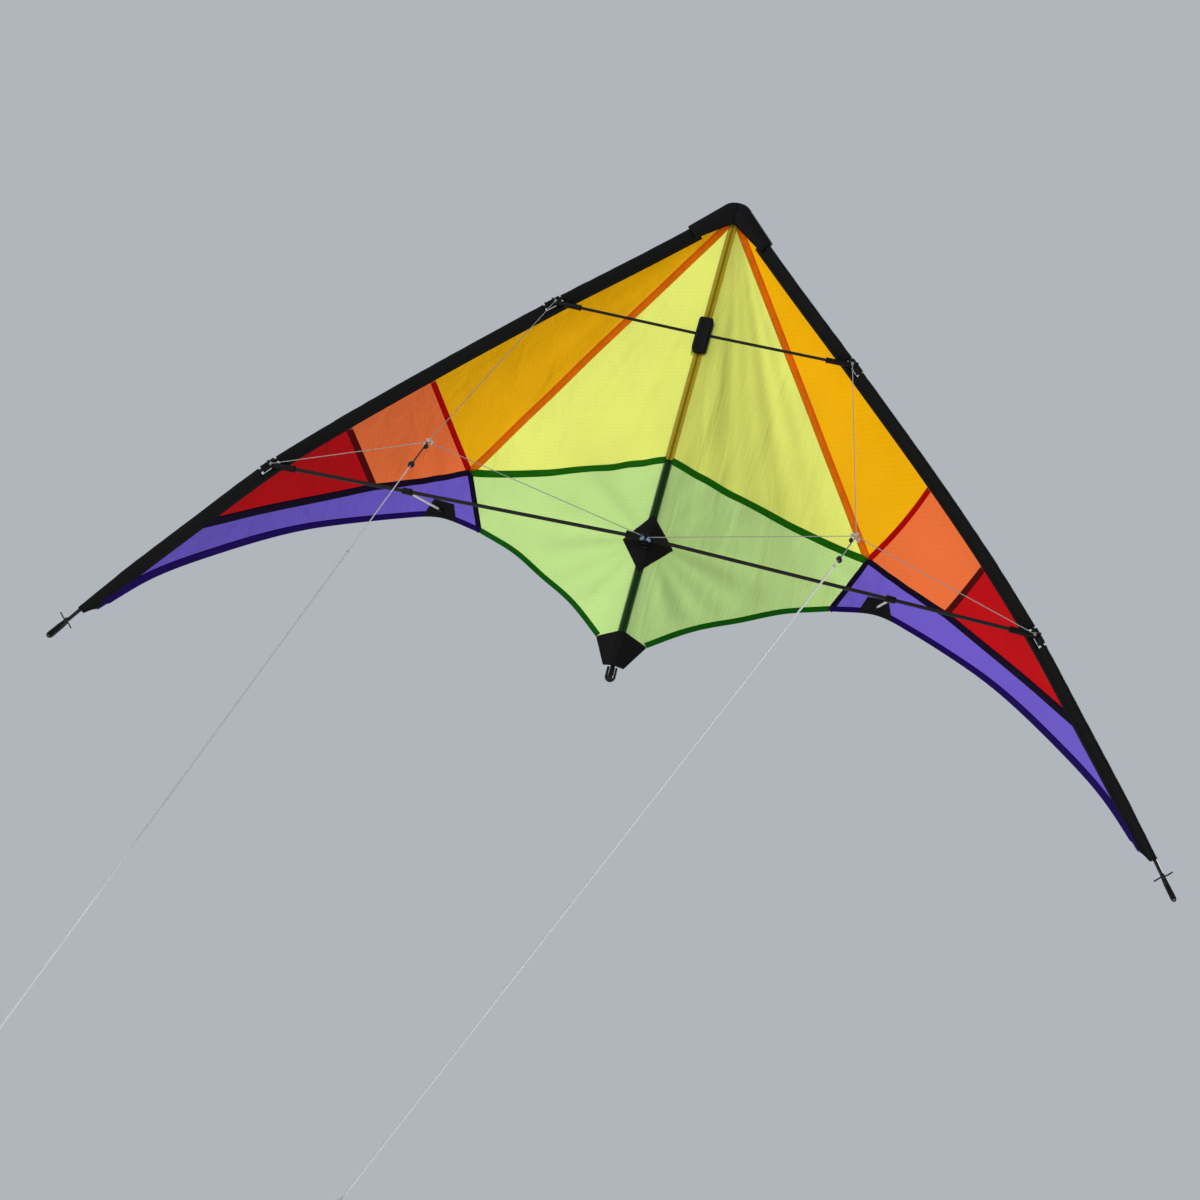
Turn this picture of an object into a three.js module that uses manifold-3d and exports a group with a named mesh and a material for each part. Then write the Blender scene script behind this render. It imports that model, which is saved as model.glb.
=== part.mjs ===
// A two-line delta stunt kite, in millimetres: +Z runs up the spine to the nose, +X to the right wing,
// -Y to the flyer. The origin is at the centre T, on the crease where the two halves of the sail meet.
import * as THREE from 'three';
import Module from 'manifold-3d';
import { mergeVertices } from 'three/addons/utils/BufferGeometryUtils.js';

const wasm = await Module();
wasm.setup();

// Driving dimensions.
const GAP = 0.3;
const CLOTH = 0.4;
const PATCH = 0.6;
const ROD_R = 2.5;
const UPPER_ROD_R = 2;
const STANDOFF_R = 1.5;
const BORE_PLAY = 0.3;
const CORD_R = 0.6;
const BUNGEE_R = 1.2;
const SPINE_Y = 3.5;
const SPINE_TOP = 468;
const SPINE_BOTTOM = -184;
const SPINE_SLEEVE_HALF = 4.2;
const SLEEVE_R = 4;
const SLEEVE_TAIL = 10;
const SAIL_BACK = 2.6;
const SAIL_EDGE = SLEEVE_TAIL + GAP;
const SOCKET_FORWARD = 3;
const BILLOW = 0.45;
const BILLOW_POWER = 3;
const UPPER_CROSS_Z = 298;
const CROSS_SIZE = [20, 18, 50];
const UPPER_SPREADER_Y = -7;
const T_ARM_Y = -9;
const T_ARM_HALF = 28;
const T_CLAMP_HALF = 12;
const STANDOFF_X = 330;
const TOW = new THREE.Vector3(282, -168, 12);
const TOW_KNOT = new THREE.Vector3(276, -245, -48);
const LINE_LENGTH = 1500;
const LINE_R = 1;
const ROD_END_X = 764;

// Points on the right wing's plan, [x, z].
const SEAM_INNER = [SPINE_SLEEVE_HALF + GAP, 116];
const SEAM_OUTER = [279, 75];
const SEAM_BEND = [350, 42];
const SEAM_MID = [398, 20];
const SEAM_LOW = [436, -3];
const SAIL_TOP = 466;
const GOLD_EDGE_X = 345;
const SALMON_EDGE_X = 438;
const RED_EDGE_X = 597;
const TIP_EDGE_X = 714;
const SEAM_TRAILING = [245, -2];
const STANDOFF_FOOT = [304, 17];
const TAIL_CORNER = [34, -138];
const TAIL_BOTTOM = [13, -175];

const COLOURS = {
  lime: 0xc6cc50,
  gold: 0xe1aa08,
  salmon: 0xe47641,
  red: 0xc3000f,
  purple: 0x7864cb,
  green: 0xa8d080,
  black: 0x101012,
  rod: 0x1a1a1c,
  vinyl: 0x18181a,
  white: 0xe8e6e0,
  elastic: 0x222226,
};

const at = (x, y, z) => new THREE.Vector3(x, y, z);

// The leading-edge rod of the right wing: close to straight inboard, bowed back towards the tip.
const leadingRod = new THREE.CatmullRomCurve3([
  at(13.5, -4, 480),
  at(103.5, -4, 396),
  at(209.5, -4, 299.5),
  at(356.5, 9, 166),
  at(454.5, 12, 69.5),
  at(525.5, 10, -8.5),
  at(612.5, 30, -108),
  at(684.5, 50, -190.5),
  at(768, 78.5, -291),
]);

// Where the leading-edge rod passes a given x.
function rodParameter(x) {
  let low = 0;
  let high = 1;
  for (let step = 0; step < 40; step++) {
    const middle = (low + high) / 2;
    if (leadingRod.getPoint(middle).x < x) low = middle;
    else high = middle;
  }
  return (low + high) / 2;
}

// The point on the leading edge's plan, moved inwards towards the sail by offset.
function inwardOfRod(t, offset) {
  const p = leadingRod.getPoint(t);
  const d = leadingRod.getTangent(t);
  const length = Math.hypot(d.x, d.z);
  return [p.x + (d.z / length) * offset, p.z - (d.x / length) * offset];
}

// The rod's parameter where the sail's front edge passes a given x.
function edgeParameter(x) {
  let low = 0;
  let high = 1;
  for (let step = 0; step < 40; step++) {
    const middle = (low + high) / 2;
    if (inwardOfRod(middle, SAIL_EDGE)[0] < x) low = middle;
    else high = middle;
  }
  return (low + high) / 2;
}

// The sail's front edge seen from the nose, as distance, angle and depth, for the billow below.
const edgeTable = Array.from({ length: 61 }, (_, i) => {
  const [x, z] = inwardOfRod(i / 60, SAIL_EDGE);
  const drop = SAIL_TOP + 20 - z;
  const y = leadingRod.getPoint(i / 60).y + SAIL_BACK;
  return { reach: Math.hypot(x, drop), angle: Math.atan2(x, drop), y };
});

// The sail's depth behind the spine and leading edge: flat over the spine's sleeve, then a billow that
// grows with the distance from the nose.
function sailDepth(x, z) {
  const drop = SAIL_TOP + 20 - z;
  const reach = Math.hypot(x, drop);
  const next = edgeTable.findIndex((e) => e.reach > reach);
  const b = edgeTable[next < 0 ? edgeTable.length - 1 : Math.max(next, 1)];
  const a = edgeTable[edgeTable.indexOf(b) - 1];
  const share = THREE.MathUtils.clamp((reach - a.reach) / (b.reach - a.reach), 0, 1);
  const angle = THREE.MathUtils.lerp(a.angle, b.angle, share);
  const edgeY = THREE.MathUtils.lerp(a.y, b.y, share);
  const beside = Math.max(Math.abs(x) - SPINE_SLEEVE_HALF - GAP, 0);
  const u = Math.min(Math.atan2(beside, drop) / (angle - 4.5 / reach), 1);
  return reach * BILLOW * u * (1 - u ** BILLOW_POWER) + edgeY * u * u;
}

// Builds a closed body from corner triples.
function bodyFrom(corners) {
  const geometry = new THREE.BufferGeometry().setFromPoints(corners);
  geometry.computeVertexNormals();
  return geometry;
}

function circle(radius, sides) {
  return Array.from({ length: sides }, (_, i) => {
    const angle = (2 * Math.PI * i) / sides;
    return [radius * Math.cos(angle), radius * Math.sin(angle)];
  });
}

// Sweeps a section along a path; hole is an inner section with as many points, or null.
// A section's first axis is up turned to the path's side, and its second is up itself.
function sweep(path, outer, hole = null, up = at(0, 1, 0)) {
  const rings = path.map((p, i) => {
    const before = path[Math.max(i - 1, 0)];
    const after = path[Math.min(i + 1, path.length - 1)];
    const along = after.clone().sub(before).normalize();
    const side = up.clone().cross(along).normalize();
    const rise = along.clone().cross(side);
    const place = ([a, b]) => p.clone().addScaledVector(side, a).addScaledVector(rise, b);
    return { outer: outer.map(place), hole: hole && hole.map(place) };
  });
  const corners = [];
  const quad = (a, b, c, d) => corners.push(a, b, c, a, c, d);
  const count = outer.length;
  for (let i = 0; i < rings.length - 1; i++) {
    for (let j = 0; j < count; j++) {
      const k = (j + 1) % count;
      quad(rings[i].outer[j], rings[i].outer[k], rings[i + 1].outer[k], rings[i + 1].outer[j]);
      if (hole) quad(rings[i].hole[k], rings[i].hole[j], rings[i + 1].hole[j], rings[i + 1].hole[k]);
    }
  }
  const first = rings[0];
  const last = rings[rings.length - 1];
  for (let j = 0; j < count; j++) {
    const k = (j + 1) % count;
    if (hole) {
      quad(first.outer[k], first.outer[j], first.hole[j], first.hole[k]);
      quad(last.outer[j], last.outer[k], last.hole[k], last.hole[j]);
    } else if (j > 0 && j < count - 1) {
      corners.push(first.outer[0], first.outer[k], first.outer[j]);
      corners.push(last.outer[0], last.outer[j], last.outer[k]);
    }
  }
  return bodyFrom(corners);
}

function rod(path, radius, sides = 12, up = undefined) {
  return sweep(path, circle(radius, sides), null, up);
}

// A stretch of the leading-edge rod between two parameters.
function rodStretch(from, to, steps) {
  return Array.from({ length: steps + 1 }, (_, i) => leadingRod.getPoint(from + ((to - from) * i) / steps));
}

// Manifold solids, for the pieces that need holes or unions.
function solidOf(geometry) {
  const position = geometry.toNonIndexed().getAttribute('position');
  const plain = new THREE.BufferGeometry().setAttribute('position', position);
  const merged = mergeVertices(plain, 1e-3);
  return new wasm.Manifold(
    new wasm.Mesh({
      numProp: 3,
      vertProperties: merged.attributes.position.array,
      triVerts: new Uint32Array(merged.index.array),
    }),
  );
}

function indexed(geometry) {
  return geometry.index ? geometry : mergeVertices(geometry);
}

function solid(geometry) {
  return solidOf(indexed(geometry));
}

function geometryOf(manifold) {
  const mesh = manifold.getMesh();
  const geometry = new THREE.BufferGeometry();
  geometry.setAttribute('position', new THREE.BufferAttribute(mesh.vertProperties, 3));
  geometry.setIndex(new THREE.BufferAttribute(mesh.triVerts, 1));
  geometry.computeVertexNormals();
  return geometry;
}

function box(low, high) {
  const size = high.map((value, i) => value - low[i]);
  const geometry = new THREE.BoxGeometry(...size);
  geometry.translate(...low.map((value, i) => value + size[i] / 2));
  return solid(geometry);
}

// Plan curves for the panels' edges: each is a function of 0..1 that gives [x, z].
function straight(a, b) {
  return (t) => [THREE.MathUtils.lerp(a[0], b[0], t), THREE.MathUtils.lerp(a[1], b[1], t)];
}

function smooth(points) {
  const curve = new THREE.SplineCurve(points.map(([x, z]) => new THREE.Vector2(x, z)));
  return (t) => curve.getPointAt(t).toArray();
}

function bent(points) {
  const curve = new THREE.CurvePath();
  const corners = points.map(([x, z]) => new THREE.Vector2(x, z));
  corners.slice(1).forEach((corner, i) => curve.add(new THREE.LineCurve(corners[i], corner)));
  return (t) => curve.getPointAt(t).toArray();
}

function alongEdge(fromX, toX) {
  const from = edgeParameter(fromX);
  const to = edgeParameter(toX);
  return (t) => inwardOfRod(THREE.MathUtils.lerp(from, to, t), SAIL_EDGE);
}

function joined(first, second, share) {
  return (t) => (t < share ? first(t / share) : second((t - share) / (1 - share)));
}

// Moves a closed plan outline inwards by distance.
function shrunk(loop, distance) {
  return loop.map((p, i) => {
    const before = loop[(i + loop.length - 1) % loop.length];
    const after = loop[(i + 1) % loop.length];
    const normal = (a, b) => {
      const length = Math.hypot(b[0] - a[0], b[1] - a[1]);
      return [-(b[1] - a[1]) / length, (b[0] - a[0]) / length];
    };
    const m = normal(before, p);
    const n = normal(p, after);
    const scale = distance / (1 + m[0] * n[0] + m[1] * n[1]);
    return [p[0] + (m[0] + n[0]) * scale, p[1] + (m[1] + n[1]) * scale];
  });
}

// A cloth panel between four plan edges: bottom and top run outwards, left and right run upwards.
function panel({ bottom, right, top, left, across, up, margin = GAP / 2, thick = CLOTH, lift = 0 }) {
  const loop = [];
  for (let i = 0; i < across; i++) loop.push(bottom(i / across));
  for (let j = 0; j < up; j++) loop.push(right(j / up));
  for (let i = across; i > 0; i--) loop.push(top(i / across));
  for (let j = up; j > 0; j--) loop.push(left(j / up));
  const rim = shrunk(loop, margin);
  const low = (i) => rim[i];
  const side = (j) => rim[across + j];
  const high = (i) => rim[2 * across + up - i];
  const inner = (j) => rim[(2 * across + 2 * up - j) % rim.length];
  const spot = (i, j) =>
    [0, 1].map((k) => {
      const u = i / across;
      const v = j / up;
      const flat = (1 - v) * low(i)[k] + v * high(i)[k] + (1 - u) * inner(j)[k] + u * side(j)[k];
      const near = (1 - u) * low(0)[k] + u * low(across)[k];
      const far = (1 - u) * high(0)[k] + u * high(across)[k];
      return flat - (1 - v) * near - v * far;
    });
  const layer = (offset) => (i, j) => {
    const [x, z] = spot(i, j);
    return at(x, sailDepth(x, z) - lift + offset, z);
  };
  return slab(layer(-thick / 2), layer(thick / 2), across, up);
}

// A closed slab between two grids of points.
function slab(front, back, across, up) {
  const corners = [];
  const quad = (a, b, c, d) => corners.push(a, b, c, a, c, d);
  for (let i = 0; i < across; i++) {
    for (let j = 0; j < up; j++) {
      quad(front(i, j), front(i + 1, j), front(i + 1, j + 1), front(i, j + 1));
      quad(back(i, j), back(i, j + 1), back(i + 1, j + 1), back(i + 1, j));
    }
  }
  const wall = (i, j, k, l) => quad(front(i, j), back(i, j), back(k, l), front(k, l));
  for (let i = 0; i < across; i++) {
    wall(i, 0, i + 1, 0);
    wall(i + 1, up, i, up);
  }
  for (let j = 0; j < up; j++) {
    wall(across, j, across, j + 1);
    wall(0, j + 1, 0, j);
  }
  return bodyFrom(corners);
}

// The sail's seams and edges, right wing.
const noseSeam = straight(SEAM_OUTER, [SPINE_SLEEVE_HALF + 2.6, SAIL_TOP]);
const crossSeam = straight(SEAM_INNER, SEAM_OUTER);
const trailingSeam = straight(SEAM_TRAILING, SEAM_OUTER);
const goldEdgePoint = inwardOfRod(edgeParameter(GOLD_EDGE_X), SAIL_EDGE);
const salmonEdgePoint = inwardOfRod(edgeParameter(SALMON_EDGE_X), SAIL_EDGE);
const redEdgePoint = inwardOfRod(edgeParameter(RED_EDGE_X), SAIL_EDGE);
const goldSeam = straight(SEAM_OUTER, goldEdgePoint);
const salmonSeam = straight(SEAM_MID, salmonEdgePoint);
const innerPurpleSeam = smooth([SEAM_OUTER, SEAM_BEND, SEAM_MID]);
const outerPurpleSeam = smooth([SEAM_MID, SEAM_LOW, [515, -53], redEdgePoint]);
const tipEdgePoint = inwardOfRod(edgeParameter(TIP_EDGE_X), SAIL_EDGE);
const tipTrailing = [tipEdgePoint[0] - 4, tipEdgePoint[1] - 1];
const innerTrailing = smooth([TAIL_CORNER, [85, -93], [137, -59], [190, -25], SEAM_TRAILING]);
const outerTrailing = smooth([
  SEAM_TRAILING,
  [STANDOFF_FOOT[0], 8.5],
  [360, -6.5],
  [430, -37],
  [498, -74.5],
  [580, -130],
  [650, -184],
  tipTrailing,
]);

function limePanel() {
  const cloth = panel({
    bottom: crossSeam,
    right: noseSeam,
    top: straight([SPINE_SLEEVE_HALF + GAP, SAIL_TOP], noseSeam(1)),
    left: straight(SEAM_INNER, [SPINE_SLEEVE_HALF + GAP, SAIL_TOP]),
    across: 8,
    up: 14,
  });
  const half = CROSS_SIZE[0] / 2 + GAP;
  const tall = CROSS_SIZE[2] / 2 + GAP;
  const gap = box([-half, -30, UPPER_CROSS_Z - tall], [half, 30, UPPER_CROSS_Z + tall]);
  return geometryOf(solid(cloth).subtract(gap));
}

function goldPanel() {
  const topX = inwardOfRod(edgeParameter(12), SAIL_EDGE);
  return panel({
    bottom: goldSeam,
    right: alongEdge(GOLD_EDGE_X, topX[0]),
    top: straight(noseSeam(1), topX),
    left: noseSeam,
    across: 7,
    up: 14,
  });
}

function salmonPanel() {
  return panel({
    bottom: innerPurpleSeam,
    right: salmonSeam,
    top: (t) => alongEdge(GOLD_EDGE_X, SALMON_EDGE_X)(t),
    left: goldSeam,
    across: 8,
    up: 7,
  });
}

function redPanel() {
  const end = RED_EDGE_X - 2.5;
  return panel({
    bottom: outerPurpleSeam,
    right: straight(redEdgePoint, inwardOfRod(edgeParameter(end), SAIL_EDGE)),
    top: alongEdge(SALMON_EDGE_X, end),
    left: salmonSeam,
    across: 14,
    up: 5,
  });
}

function purplePanel() {
  const outerUpper = joined(outerPurpleSeam, alongEdge(RED_EDGE_X, TIP_EDGE_X), 0.56);
  const upper = joined(innerPurpleSeam, outerUpper, 0.27);
  return panel({
    bottom: outerTrailing,
    right: straight(tipTrailing, tipEdgePoint),
    top: upper,
    left: trailingSeam,
    across: 26,
    up: 5,
  });
}

function greenPanel() {
  const inner = SPINE_SLEEVE_HALF + GAP;
  const tail = bent([[inner, TAIL_BOTTOM[1]], TAIL_BOTTOM, TAIL_CORNER]);
  const cloth = panel({
    bottom: joined(tail, innerTrailing, 0.25),
    right: trailingSeam,
    top: crossSeam,
    left: straight([inner, TAIL_BOTTOM[1]], SEAM_INNER),
    across: 16,
    up: 14,
  });
  const tall = T_CLAMP_HALF + GAP;
  return geometryOf(solid(cloth).subtract(box([-8, -30, -tall], [8, 30, tall])));
}

// A patch laid on the front of both halves of the sail: flat over the spine's sleeve, folded beside it.
function foldedPatch(halfWidth, low, high, across, up, lift) {
  const spot = (offset) => (i, j) => {
    const v = j / up;
    const share = THREE.MathUtils.lerp(-1, 1, i / across);
    const flat = Math.min(SPINE_SLEEVE_HALF + GAP, halfWidth(v) * 0.6);
    const spread = THREE.MathUtils.lerp(flat, halfWidth(v), (Math.abs(share) - 0.25) / 0.75);
    const x = Math.sign(share) * (Math.abs(share) > 0.25 ? spread : (flat * Math.abs(share)) / 0.25);
    const z = THREE.MathUtils.lerp(low(x), high(x), v);
    return at(x, sailDepth(x, z) - lift + offset, z);
  };
  return slab(spot(-PATCH / 2), spot(PATCH / 2), across, up);
}

const PATCH_LIFT = CLOTH / 2 + 2 * GAP + PATCH / 2;

function centreDiamond() {
  const half = (v) => 35 * (1 - Math.abs(2 * v - 1)) + 0.6;
  const shape = foldedPatch(half, () => -44, () => 36, 8, 16, PATCH_LIFT);
  const tall = T_CLAMP_HALF + GAP;
  return geometryOf(solid(shape).subtract(box([-8, -30, -tall], [8, 30, tall])));
}

function tailPatch() {
  const { lerp } = THREE.MathUtils;
  const half = (v) => (v < 0.8 ? lerp(14, 34, v / 0.8) : lerp(34, 30, (v - 0.8) / 0.2));
  const top = (x) => -129 - Math.abs(x) * 0.12;
  return foldedPatch(half, () => -177, top, 8, 10, PATCH_LIFT);
}

// Sleeve section: round over the rod, drawn out into a flat tail where it is sewn to the sail.
function sleeveSections() {
  const wrap = [38, 60, 90, 120, 150, 180, 210, 240, 270, 300, 322].map((d) => (d * Math.PI) / 180);
  const tail = [[SLEEVE_TAIL, SAIL_BACK - 0.6], [SLEEVE_TAIL, SAIL_BACK + 0.6]];
  const outer = [...tail, ...wrap.map((a) => [SLEEVE_R * Math.cos(a), SLEEVE_R * Math.sin(a)])];
  const bore = ROD_R + 2 * BORE_PLAY;
  const angles = [-0.2, 0.2, ...wrap];
  return [outer, angles.map((a) => [bore * Math.cos(a), bore * Math.sin(a)])];
}

function leadingSleeve(fromX, toX, steps) {
  const [outer, hole] = sleeveSections();
  return sweep(rodStretch(rodParameter(fromX), rodParameter(toX), steps), outer, hole);
}

function leadingRodBody() {
  return rod(rodStretch(0, rodParameter(ROD_END_X), 58), ROD_R, 10);
}

// Where a spreader's line meets the leading edge: just in front of the rod.
function socketCentre(x) {
  return leadingRod.getPoint(rodParameter(x)).add(at(0, -SOCKET_FORWARD, 0));
}

// A fitting clamped on the leading-edge rod, with a socket for a spreader.
function edgeConnector(x, target, spreaderR, reach) {
  const t = rodParameter(x);
  const centre = leadingRod.getPoint(t);
  const joint = socketCentre(x);
  const along = leadingRod.getTangent(t);
  const aim = target.clone().sub(joint).normalize();
  const onRod = (distance) => centre.clone().addScaledVector(along, distance);
  const onSpreader = (distance) => joint.clone().addScaledVector(aim, distance);
  const clamp = solid(rod([onRod(-11), onRod(11)], 5.6, 18));
  const socket = solid(rod([onSpreader(1), onSpreader(reach)], spreaderR + 2, 18));
  const rodHole = solid(rod([onRod(-14), onRod(14)], ROD_R + 2 * BORE_PLAY, 18));
  const socketHole = solid(rod([onSpreader(9 - GAP), onSpreader(reach + 4)], spreaderR + BORE_PLAY, 18));
  return geometryOf(clamp.add(socket).subtract(rodHole).subtract(socketHole));
}

const upperJoint = socketCentre(209.5);
const lowerJoint = socketCentre(525.5);
const upperAim = at(0, UPPER_SPREADER_Y, UPPER_CROSS_Z);
const lowerAim = at(0, T_ARM_Y, 0);

function spreader(joint, aim, radius) {
  const direction = aim.clone().sub(joint).normalize();
  const outer = joint.clone().addScaledVector(direction, 9);
  const inner = joint.clone().addScaledVector(direction, joint.distanceTo(aim) - 1.5);
  return rod([outer, inner], radius, 12);
}

// The standoff: a clip that turns on the lower spreader, and a thin rod that props the sail's rear edge.
const spreaderLine = lowerAim.clone().sub(lowerJoint).normalize();
const clipCentre = lowerJoint.clone().addScaledVector(spreaderLine, (525.5 - STANDOFF_X) / -spreaderLine.x);
const footPoint = at(STANDOFF_FOOT[0], sailDepth(...STANDOFF_FOOT) - 1.4, STANDOFF_FOOT[1]);
const standoffLine = footPoint.clone().sub(clipCentre).normalize();
const standoffReach = footPoint.distanceTo(clipCentre);

function onStandoff(distance) {
  return clipCentre.clone().addScaledVector(standoffLine, distance);
}

function standoffClip() {
  const onSpreader = (distance) => clipCentre.clone().addScaledVector(spreaderLine, distance);
  const sideways = at(1, 0, 0);
  const ring = solid(rod([onSpreader(-6.5), onSpreader(6.5)], 5, 18));
  const stub = solid(rod([onStandoff(2), onStandoff(15)], 3.2, 14, sideways));
  const ringHole = solid(rod([onSpreader(-9), onSpreader(9)], ROD_R + BORE_PLAY, 18));
  const stubHole = solid(rod([onStandoff(5.2), onStandoff(18)], STANDOFF_R + BORE_PLAY, 14, sideways));
  return geometryOf(ring.add(stub).subtract(ringHole).subtract(stubHole));
}

function standoffRod() {
  return rod([onStandoff(5.5), onStandoff(standoffReach - 6)], STANDOFF_R, 10, at(1, 0, 0));
}

function standoffCap() {
  const up = at(1, 0, 0);
  const body = solid(rod([onStandoff(standoffReach - 15), onStandoff(standoffReach - 3)], 3, 14, up));
  const bore = [onStandoff(standoffReach - 18), onStandoff(standoffReach - 5.7)];
  const hole = solid(rod(bore, STANDOFF_R + BORE_PLAY, 14, up));
  return geometryOf(body.subtract(hole));
}

function edgePatch() {
  const trailing = (x) => {
    let low = 0;
    let high = 1;
    for (let step = 0; step < 30; step++) {
      const middle = (low + high) / 2;
      if (outerTrailing(middle)[0] < x) low = middle;
      else high = middle;
    }
    return outerTrailing((low + high) / 2)[1];
  };
  const lower = (t) => {
    const x = THREE.MathUtils.lerp(281, 329, t);
    return [x, trailing(x) + 0.6];
  };
  return panel({
    bottom: lower,
    right: straight(lower(1), [318, 30]),
    top: straight([290, 29], [318, 30]),
    left: straight(lower(0), [290, 29]),
    across: 6,
    up: 3,
    thick: PATCH,
    lift: PATCH_LIFT,
  });
}

// Tip: a nock on the end of the rod, and the bungee that hooks the sail's tip over it.
const tipT = rodParameter(ROD_END_X);
const tipAlong = leadingRod.getTangent(tipT);
const tipSide = at(0, 1, 0).cross(tipAlong).normalize();

function onTip(distance, aside) {
  return leadingRod.getPoint(tipT).addScaledVector(tipAlong, distance).addScaledVector(tipSide, aside);
}

function tipNock() {
  const body = solid(rod([onTip(-14, 0), onTip(5, 0)], 4, 16));
  const hole = solid(rod([onTip(-16, 0), onTip(0.3, 0)], ROD_R + BORE_PLAY, 16));
  return geometryOf(body.subtract(hole));
}

function loopAround(onPiece, start, end, radius, sides = 8) {
  const path = [onPiece(start, radius)];
  for (let i = 0; i <= 10; i++) {
    const angle = (Math.PI * i) / 10;
    path.push(onPiece(end + radius * Math.sin(angle), radius * Math.cos(angle)));
  }
  path.push(onPiece(start, -radius));
  return rod(path, BUNGEE_R, sides);
}

// Centre fittings.
function centreT() {
  const arm = solid(rod([at(-T_ARM_HALF, T_ARM_Y, 0), at(T_ARM_HALF, T_ARM_Y, 0)], 5.4, 20));
  const clamp = solid(rod([at(0, SPINE_Y, -T_CLAMP_HALF), at(0, SPINE_Y, T_CLAMP_HALF)], 6, 20));
  const web = box([-5, T_ARM_Y, -8], [5, SPINE_Y, 8]);
  const spineHole = solid(rod([at(0, SPINE_Y, -20), at(0, SPINE_Y, 20)], ROD_R + BORE_PLAY, 20));
  const sockets = [-1, 1].map((side) => {
    const tip = lowerJoint.clone().multiply(at(side, 1, 1));
    const end = lowerAim.clone().lerp(tip, 0.1);
    return solid(rod([lowerAim.clone().lerp(tip, 0.001), end], ROD_R + BORE_PLAY + 0.35, 20));
  });
  return geometryOf(arm.add(clamp).add(web).subtract(spineHole).subtract(sockets[0]).subtract(sockets[1]));
}

function roundedBlock(width, height, depth, corner) {
  const shape = new THREE.Shape();
  const x = width / 2 - corner;
  const y = height / 2 - corner;
  shape.absarc(x, y, corner, 0, Math.PI / 2);
  shape.absarc(-x, y, corner, Math.PI / 2, Math.PI);
  shape.absarc(-x, -y, corner, Math.PI, 1.5 * Math.PI);
  shape.absarc(x, -y, corner, 1.5 * Math.PI, 2 * Math.PI);
  const geometry = new THREE.ExtrudeGeometry(shape, { depth, bevelEnabled: false, curveSegments: 5 });
  geometry.rotateX(Math.PI / 2);
  return geometry;
}

function upperCross() {
  const [width, depth, height] = CROSS_SIZE;
  const block = roundedBlock(width, height, depth, 4);
  block.deleteAttribute('normal');
  block.deleteAttribute('uv');
  block.translate(0, 7.5, UPPER_CROSS_Z);
  const spineHole = solid(
    rod([at(0, SPINE_Y, UPPER_CROSS_Z - 40), at(0, SPINE_Y, UPPER_CROSS_Z + 40)], ROD_R + BORE_PLAY, 18),
  );
  const spreaderLine = [-20, 20].map((x) => at(x, UPPER_SPREADER_Y, UPPER_CROSS_Z));
  const spreaderHole = solid(rod(spreaderLine, 2.5, 18));
  return geometryOf(solid(block).subtract(spineHole).subtract(spreaderHole));
}

// The spine's sleeve: flat where it backs the sail, round behind.
function spineSleeve(low, high) {
  const back = Array.from({ length: 9 }, (_, i) => (Math.PI * i) / 8);
  const front = [1.25, 1.5, 1.75].map((k) => k * Math.PI);
  const half = SPINE_SLEEVE_HALF;
  const bore = ROD_R + BORE_PLAY;
  const flat = [[-half + 0.6, -2.2], [0, -3.2], [half - 0.6, -2.2]];
  const outer = [...back.map((a) => [half * Math.cos(a), 0.2 + half * Math.sin(a)]), ...flat];
  const hole = [...back, ...front].map((a) => [bore * Math.cos(a), bore * Math.sin(a)]);
  return sweep([at(0, SPINE_Y, low), at(0, SPINE_Y, high)], outer, hole);
}

function noseWebbing() {
  const t = rodParameter(52);
  const outline = [[15, 497], inwardOfRod(t, -7.5), inwardOfRod(t, 9.9), inwardOfRod(0, 9.9)];
  const shape = new THREE.Shape();
  const mirrored = outline.slice().reverse().map(([x, z]) => [-x, z]);
  shape.setFromPoints([...outline, ...mirrored].map(([x, z]) => new THREE.Vector2(x, z)));
  const geometry = new THREE.ExtrudeGeometry(shape, { depth: 9, bevelEnabled: false });
  geometry.deleteAttribute('normal');
  geometry.deleteAttribute('uv');
  geometry.rotateX(Math.PI / 2);
  geometry.translate(0, 0.5, 0);
  const bore = [at(13.1, -4, 480.4), ...rodStretch(0, rodParameter(60), 6)];
  const hole = solid(rod(bore, ROD_R + BORE_PLAY, 14));
  return geometryOf(solid(geometry).subtract(hole).subtract(hole.mirror([1, 0, 0])));
}

function tailCap() {
  const body = solid(rod([at(0, SPINE_Y, SPINE_BOTTOM + 8), at(0, SPINE_Y, SPINE_BOTTOM - 5)], 3.7, 16));
  const bore = [at(0, SPINE_Y, SPINE_BOTTOM + 12), at(0, SPINE_Y, SPINE_BOTTOM - GAP)];
  const hole = solid(rod(bore, ROD_R + BORE_PLAY, 16));
  return geometryOf(body.subtract(hole));
}

// Bridle and flying line.
function outerBridle() {
  const upper = upperJoint.clone().add(at(-4, -8.5, 0));
  const lower = lowerJoint.clone().add(at(-4, -8.5, 0));
  return rod([upper, TOW, lower], CORD_R, 8);
}

function innerBridle() {
  const start = at(4, T_ARM_Y - 7.5, 0);
  const end = TOW.clone().add(at(-2.6, 0.6, 0));
  return rod([start, end], CORD_R, 8);
}

function towPigtail() {
  const line = TOW_KNOT.clone().sub(TOW).normalize();
  return rod([TOW.clone().addScaledVector(line, 2.4), TOW_KNOT], CORD_R, 8);
}

function flyingLine(side, direction) {
  const knot = TOW_KNOT.clone().multiply(at(side, 1, 1));
  const start = knot.clone().addScaledVector(direction, 2);
  return rod([start, start.clone().addScaledVector(direction, LINE_LENGTH)], LINE_R, 8);
}

const kite = new THREE.Group();

function add(group, name, geometry, colour) {
  const material = new THREE.MeshStandardMaterial({ color: COLOURS[colour], roughness: 0.7 });
  const mesh = new THREE.Mesh(geometry, material);
  mesh.name = name;
  group.add(mesh);
}

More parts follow.
